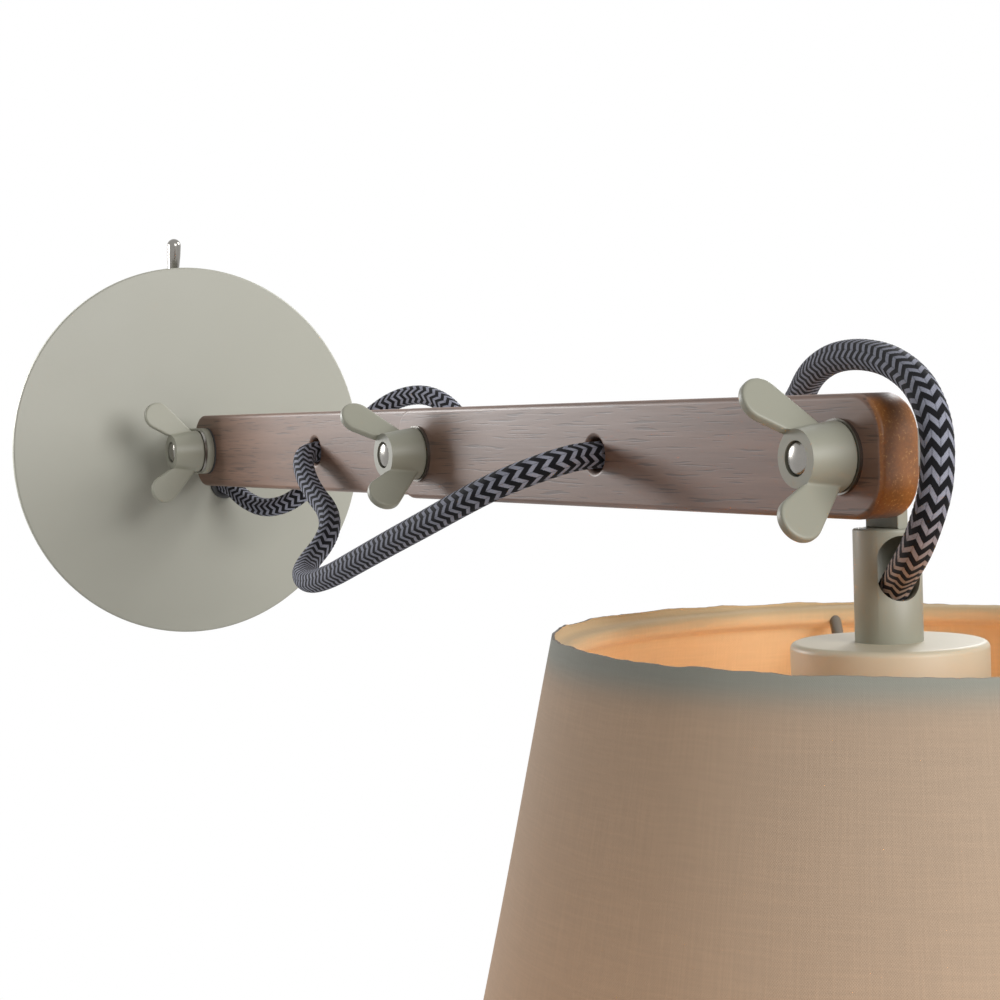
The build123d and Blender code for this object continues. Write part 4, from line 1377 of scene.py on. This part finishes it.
def make_bottom_hem():
    """The hem that is turned under the bottom wire."""
    def profile(angle):
        stray = wander(angle, 3.9, 9.0) * sizes().edge_waviness * 0.6
        cut = SHADE_BOTTOM + sizes().hem_width + stray
        path = [
            (cone_radius(cut) + 0.4 * MM, cut),
            (SHADE_WIDE + 0.4 * MM, SHADE_BOTTOM - 0.5 * MM),
            (SHADE_WIDE - 5.4 * MM, SHADE_BOTTOM - 0.6 * MM),
            (SHADE_WIDE - 5.2 * MM, SHADE_BOTTOM + 3.6 * MM),
            (SHADE_WIDE - 2.5 * MM, SHADE_BOTTOM + 5.5 * MM),
        ]
        bends = [0, 1.6 * MM, 1.6 * MM, 1.6 * MM, 0]
        return thin_shell(rounded(path, bends, closed=False, steps=5), STRIP_THICKNESS)

    mesh = smooth(turned("bottom_hem", profile, STEM_AXIS, steps=360), 60)
    hem = linen_finish("linen_hem", colours().hem, 0.02)
    return new_piece("shade_bottom_hem", mesh, hem, "head")


class LAMP_OT_bulb(bpy.types.Operator):
    """Make the opal bulb with its screw cap, and its warm light"""

    bl_idname = "lamp.bulb"
    bl_label = "Bulb"

    def execute(self, context):
        make_globe()
        make_cap()
        dress("bulb_contact", zinc_finish())
        light = bpy.data.lights.new("bulb_light", "POINT")
        light.energy = context.scene.lamp_studio.bulb_power
        light.color = colours().glow
        light.shadow_soft_size = half_width("bulb_glass") + 2 * MM
        lamp = bpy.data.objects.new("bulb_light", light)
        context.scene.collection.objects.link(lamp)
        lamp.location = (STEM_AXIS.x, STEM_AXIS.y, low("bulb_glass").z + half_width("bulb_glass"))
        lamp.visible_camera = False
        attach(lamp, "head")
        return {"FINISHED"}


def make_globe():
    """The bulb's glass: a globe that flows into a neck."""
    lowest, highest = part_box("bulb_glass")
    radius = half_width("bulb_glass")
    neck = 12.0 * MM
    wall = 0.9 * MM
    flow = 6 * MM
    centre = lowest.z + radius
    flare = math.asin(min(1.0, (neck + 2.2 * MM) / radius))
    outside = arc((0, centre), radius, -math.pi / 2, math.pi - flare, 48)
    meet = outside[-1]
    turn = (neck, meet[1] + 3.2 * MM)
    outside += rounded([meet, turn, (neck, highest.z)], [0, flow, 0], closed=False)[1:]
    inside = [(max(0.0, reach - wall), height) for reach, height in reversed(outside)]
    inside[-1] = (0, lowest.z + wall)
    mesh = smooth(turned("globe", outside + inside, STEM_AXIS, steps=96), 60)
    new_piece("opal_globe", mesh, opal_finish(), "bulb", ["bulb_glass"])


def make_cap():
    """The bulb's brass cap with its rolled thread."""
    lowest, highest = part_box("bulb_cap")
    radius = half_width("bulb_cap")
    turns = 5
    steps = 8
    depth = 1.1 * MM
    lead_in = 2 * MM
    contact = 4.6 * MM
    rise = (highest.z - lowest.z - 7 * MM) / turns
    outline = [(0, lowest.z), (radius - 1.6 * MM, lowest.z), (radius - 0.6 * MM, lowest.z + lead_in)]
    for step in range(turns * steps):
        share = step / steps
        groove = 0.5 - 0.5 * math.cos(FULL_TURN * share)
        outline.append((radius - depth * groove, lowest.z + lead_in + rise * share))
    outline += [(radius - 0.4 * MM, highest.z - contact), (radius - 2.6 * MM, highest.z - 2 * MM)]
    outline += [(contact, highest.z), (0, highest.z)]
    mesh = turned("cap", outline, STEM_AXIS, steps=80)
    new_piece("bulb_screw_cap", mesh, brass_finish(), "bulb", ["bulb_cap"])


# Control points of the cord's three stretches, in millimetres: X, Y and Z.
CANOPY_TO_LOWER_ARM = [
    (13, -23, -14.5), (13, -37, -14.5), (13.5, -50, -20.5), (17, -65, -24.5), (23, -80, -21),
    (30, -93, -10), (37, -104, 3), (43, -114, 13), (48.5, -127, 19), (53, -142, 19.5),
    (56, -156, 13.5), (55.5, -165.5, 4.5), (50.5, -171.5, -3.5), (41, -173.5, -8),
    (29.5, -171, -7), (19, -167.5, -2.5), (9, -166.5, 0), (0, -166.5, 0),
]
LOWER_ARM_TO_UPPER_ARM = [
    (0, -166.5, 0), (-8, -166.5, 0), (-13.2, -173, -3.2), (-16, -182.5, -9), (-17.5, -193.5, -14.5),
    (-18.2, -204.5, -19), (-21, -213, -24.5), (-26.5, -218.5, -29.8), (-33.5, -223, -34.5),
    (-40.5, -232.5, -38), (-45, -248.5, -39.5), (-47.5, -269.5, -36.5), (-49, -293, -30.5),
    (-49.5, -317, -24), (-49.5, -339, -18), (-48.5, -357, -12.5), (-44.5, -369.5, -7.5),
    (-38, -376.5, -4), (-30, -379, -1.5), (-20.5, -376.5, 0), (-11.5, -376.5, 0),
]
UPPER_ARM_TO_STEM = [
    (-11.5, -376.5, 0), (1, -376.5, 0), (11.5, -378, 0.7), (20, -383, 2.5), (25, -391, 5.2),
    (26, -401, 8.3), (23.5, -411, 11.5), (19, -420.5, 14.8), (13.8, -430, 18), (9, -440.5, 20.7),
    (4.5, -452.5, 22.7), (0.5, -465.5, 23.2), (-3, -478, 22.3), (-6.5, -489, 20.3), (-9, -498.5, 16.7),
    (-11, -505, 12.2), (-12.5, -509.3, 6.5), (-13.6, -511, 0), (-14, -510.5, -7),
    (-13.7, -506.8, -14.2), (-12.3, -501.5, -20.2), (-9.7, -495.3, -24), (-6.2, -488.8, -26.8),
    (-4, -481.5, -32.5), (-4, -481.5, -40.7),
]


class LAMP_OT_cords(bpy.types.Operator):
    """Make the braided cord's three stretches"""

    bl_idname = "lamp.cords"
    bl_label = "Cord"

    def execute(self, context):
        make_cord("cord_to_lower_arm", CANOPY_TO_LOWER_ARM, "cord_wall_stretch")
        make_cord("cord_between_arms", LOWER_ARM_TO_UPPER_ARM, "cord_elbow_stretch")
        make_cord("cord_to_stem", UPPER_ARM_TO_STEM, "cord_head_stretch")
        return {"FINISHED"}


def route_line(route):
    """Close points along the smooth line of a route's control points."""
    curve = bpy.data.curves.new("route", "CURVE")
    curve.dimensions = "3D"
    curve.resolution_u = 48
    spline = curve.splines.new("NURBS")
    spline.points.add(len(route) - 1)
    for point, place in zip(spline.points, route):
        point.co = (*(value * MM for value in place), 1)
    spline.order_u = 3
    spline.use_endpoint_u = True
    holder = bpy.data.objects.new("route", curve)
    line = bpy.data.meshes.new_from_object(holder)
    bpy.data.objects.remove(holder)
    return [vertex.co.copy() for vertex in line.vertices]


def evenly(points, spacing):
    """The line's points moved to even steps, and its length."""
    marks = [0.0]
    for before, after in zip(points, points[1:]):
        marks.append(marks[-1] + (after - before).length)
    length = marks[-1]
    steps = round(length / spacing)
    made = []
    index = 0
    for step in range(steps + 1):
        place = length * step / steps
        while index < len(points) - 2 and marks[index + 1] < place:
            index += 1
        share = (place - marks[index]) / max(marks[index + 1] - marks[index], 1e-12)
        made.append(points[index].lerp(points[index + 1], share))
    return made, length


def braided_tube(name, points, length):
    """A tube along even points, swelled under each band of thread, with the map of its braid."""
    size = sizes()
    radius = size.cord_diameter / 2
    sides = 48
    form = bmesh.new()
    weave = form.loops.layers.uv.new("weave")
    tangent = (points[1] - points[0]).normalized()
    across = tangent.orthogonal().normalized()
    rings = []
    for index, point in enumerate(points):
        before = points[max(index - 1, 0)]
        after = points[min(index + 1, len(points) - 1)]
        heading = (after - before).normalized()
        across = tangent.rotation_difference(heading) @ across
        across = (across - heading * across.dot(heading)).normalized()
        tangent = heading
        other = heading.cross(across)
        bands = length * index / (len(points) - 1) / size.braid_pitch
        ring = []
        for side in range(sides):
            share = side / sides
            climb = abs((share * size.braid_peaks) % 1.0 * 2 - 1)
            swell = abs(math.sin(FULL_TURN * (bands + climb * BRAID_RISE)))
            out = radius - size.braid_relief * (1 - swell)
            angle = FULL_TURN * share
            spoke = across * math.cos(angle) + other * math.sin(angle)
            ring.append(form.verts.new(point + spoke * out))
        rings.append((ring, bands))
    for (here, low_bands), (there, high_bands) in zip(rings, rings[1:]):
        for side in range(sides):
            nearby = (side + 1) % sides
            face = form.faces.new((here[side], here[nearby], there[nearby], there[side]))
            shares = (side, side + 1, side + 1, side)
            counts = (low_bands, low_bands, high_bands, high_bands)
            for loop, share, count in zip(face.loops, shares, counts):
                loop[weave].uv = (share / sides * size.braid_peaks, count)
    form.faces.new(reversed(rings[0][0]))
    form.faces.new(rings[-1][0])
    bmesh.ops.recalc_face_normals(form, faces=form.faces)
    mesh = bpy.data.meshes.new(name)
    form.to_mesh(mesh)
    form.free()
    return smooth(mesh, 60)


def make_cord(name, route, node):
    """One stretch of braided cord along its route."""
    size = sizes()
    points, length = evenly(route_line(route), size.braid_pitch / 8)
    mesh = braided_tube(name, points, length)
    mesh.materials.append(braid_finish())
    cord = bpy.data.objects.new(name, mesh)
    bpy.context.scene.collection.objects.link(cord)
    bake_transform(cord)
    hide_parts(node)


PIECES = (
    LAMP_OT_canopy, LAMP_OT_switch, LAMP_OT_arms, LAMP_OT_pivots, LAMP_OT_wing_nuts,
    LAMP_OT_stem, LAMP_OT_lampholder, LAMP_OT_shade, LAMP_OT_bulb, LAMP_OT_cords,
)


class LAMP_PT_panel(bpy.types.Panel):
    """The lamp's pieces, sizes and colours"""

    bl_idname = "LAMP_PT_panel"
    bl_label = "Wall Lamp"
    bl_space_type = "VIEW_3D"
    bl_region_type = "UI"
    bl_category = "Wall Lamp"

    def draw(self, context):
        column = self.layout.column()
        for operator in (LAMP_OT_stage, *PIECES):
            column.operator(operator.bl_idname)
        for group in (context.scene.lamp_sizes, context.scene.lamp_colours, context.scene.lamp_studio):
            box = column.box()
            for name in group.bl_rna.properties.keys():
                if name not in ("name", "rna_type"):
                    box.prop(group, name)


CLASSES = (LampSizes, LampColours, StudioSettings, LAMP_OT_stage, *PIECES, LAMP_PT_panel)


def register():
    """Adds the lamp's classes and settings to Blender."""
    for item in CLASSES:
        bpy.utils.register_class(item)
    bpy.types.Scene.lamp_sizes = PointerProperty(type=LampSizes)
    bpy.types.Scene.lamp_colours = PointerProperty(type=LampColours)
    bpy.types.Scene.lamp_studio = PointerProperty(type=StudioSettings)


def unregister():
    """Takes them out again."""
    del bpy.types.Scene.lamp_sizes
    del bpy.types.Scene.lamp_colours
    del bpy.types.Scene.lamp_studio
    for item in reversed(CLASSES):
        bpy.utils.unregister_class(item)


def main():
    """Dresses the lamp."""
    register()
    bpy.ops.lamp.stage()
    bpy.ops.lamp.canopy()
    bpy.ops.lamp.switch()
    bpy.ops.lamp.arms()
    bpy.ops.lamp.pivots()
    bpy.ops.lamp.wing_nuts()
    bpy.ops.lamp.stem()
    bpy.ops.lamp.lampholder()
    bpy.ops.lamp.shade()
    bpy.ops.lamp.bulb()
    bpy.ops.lamp.cords()


if __name__ == "__main__":
    main()
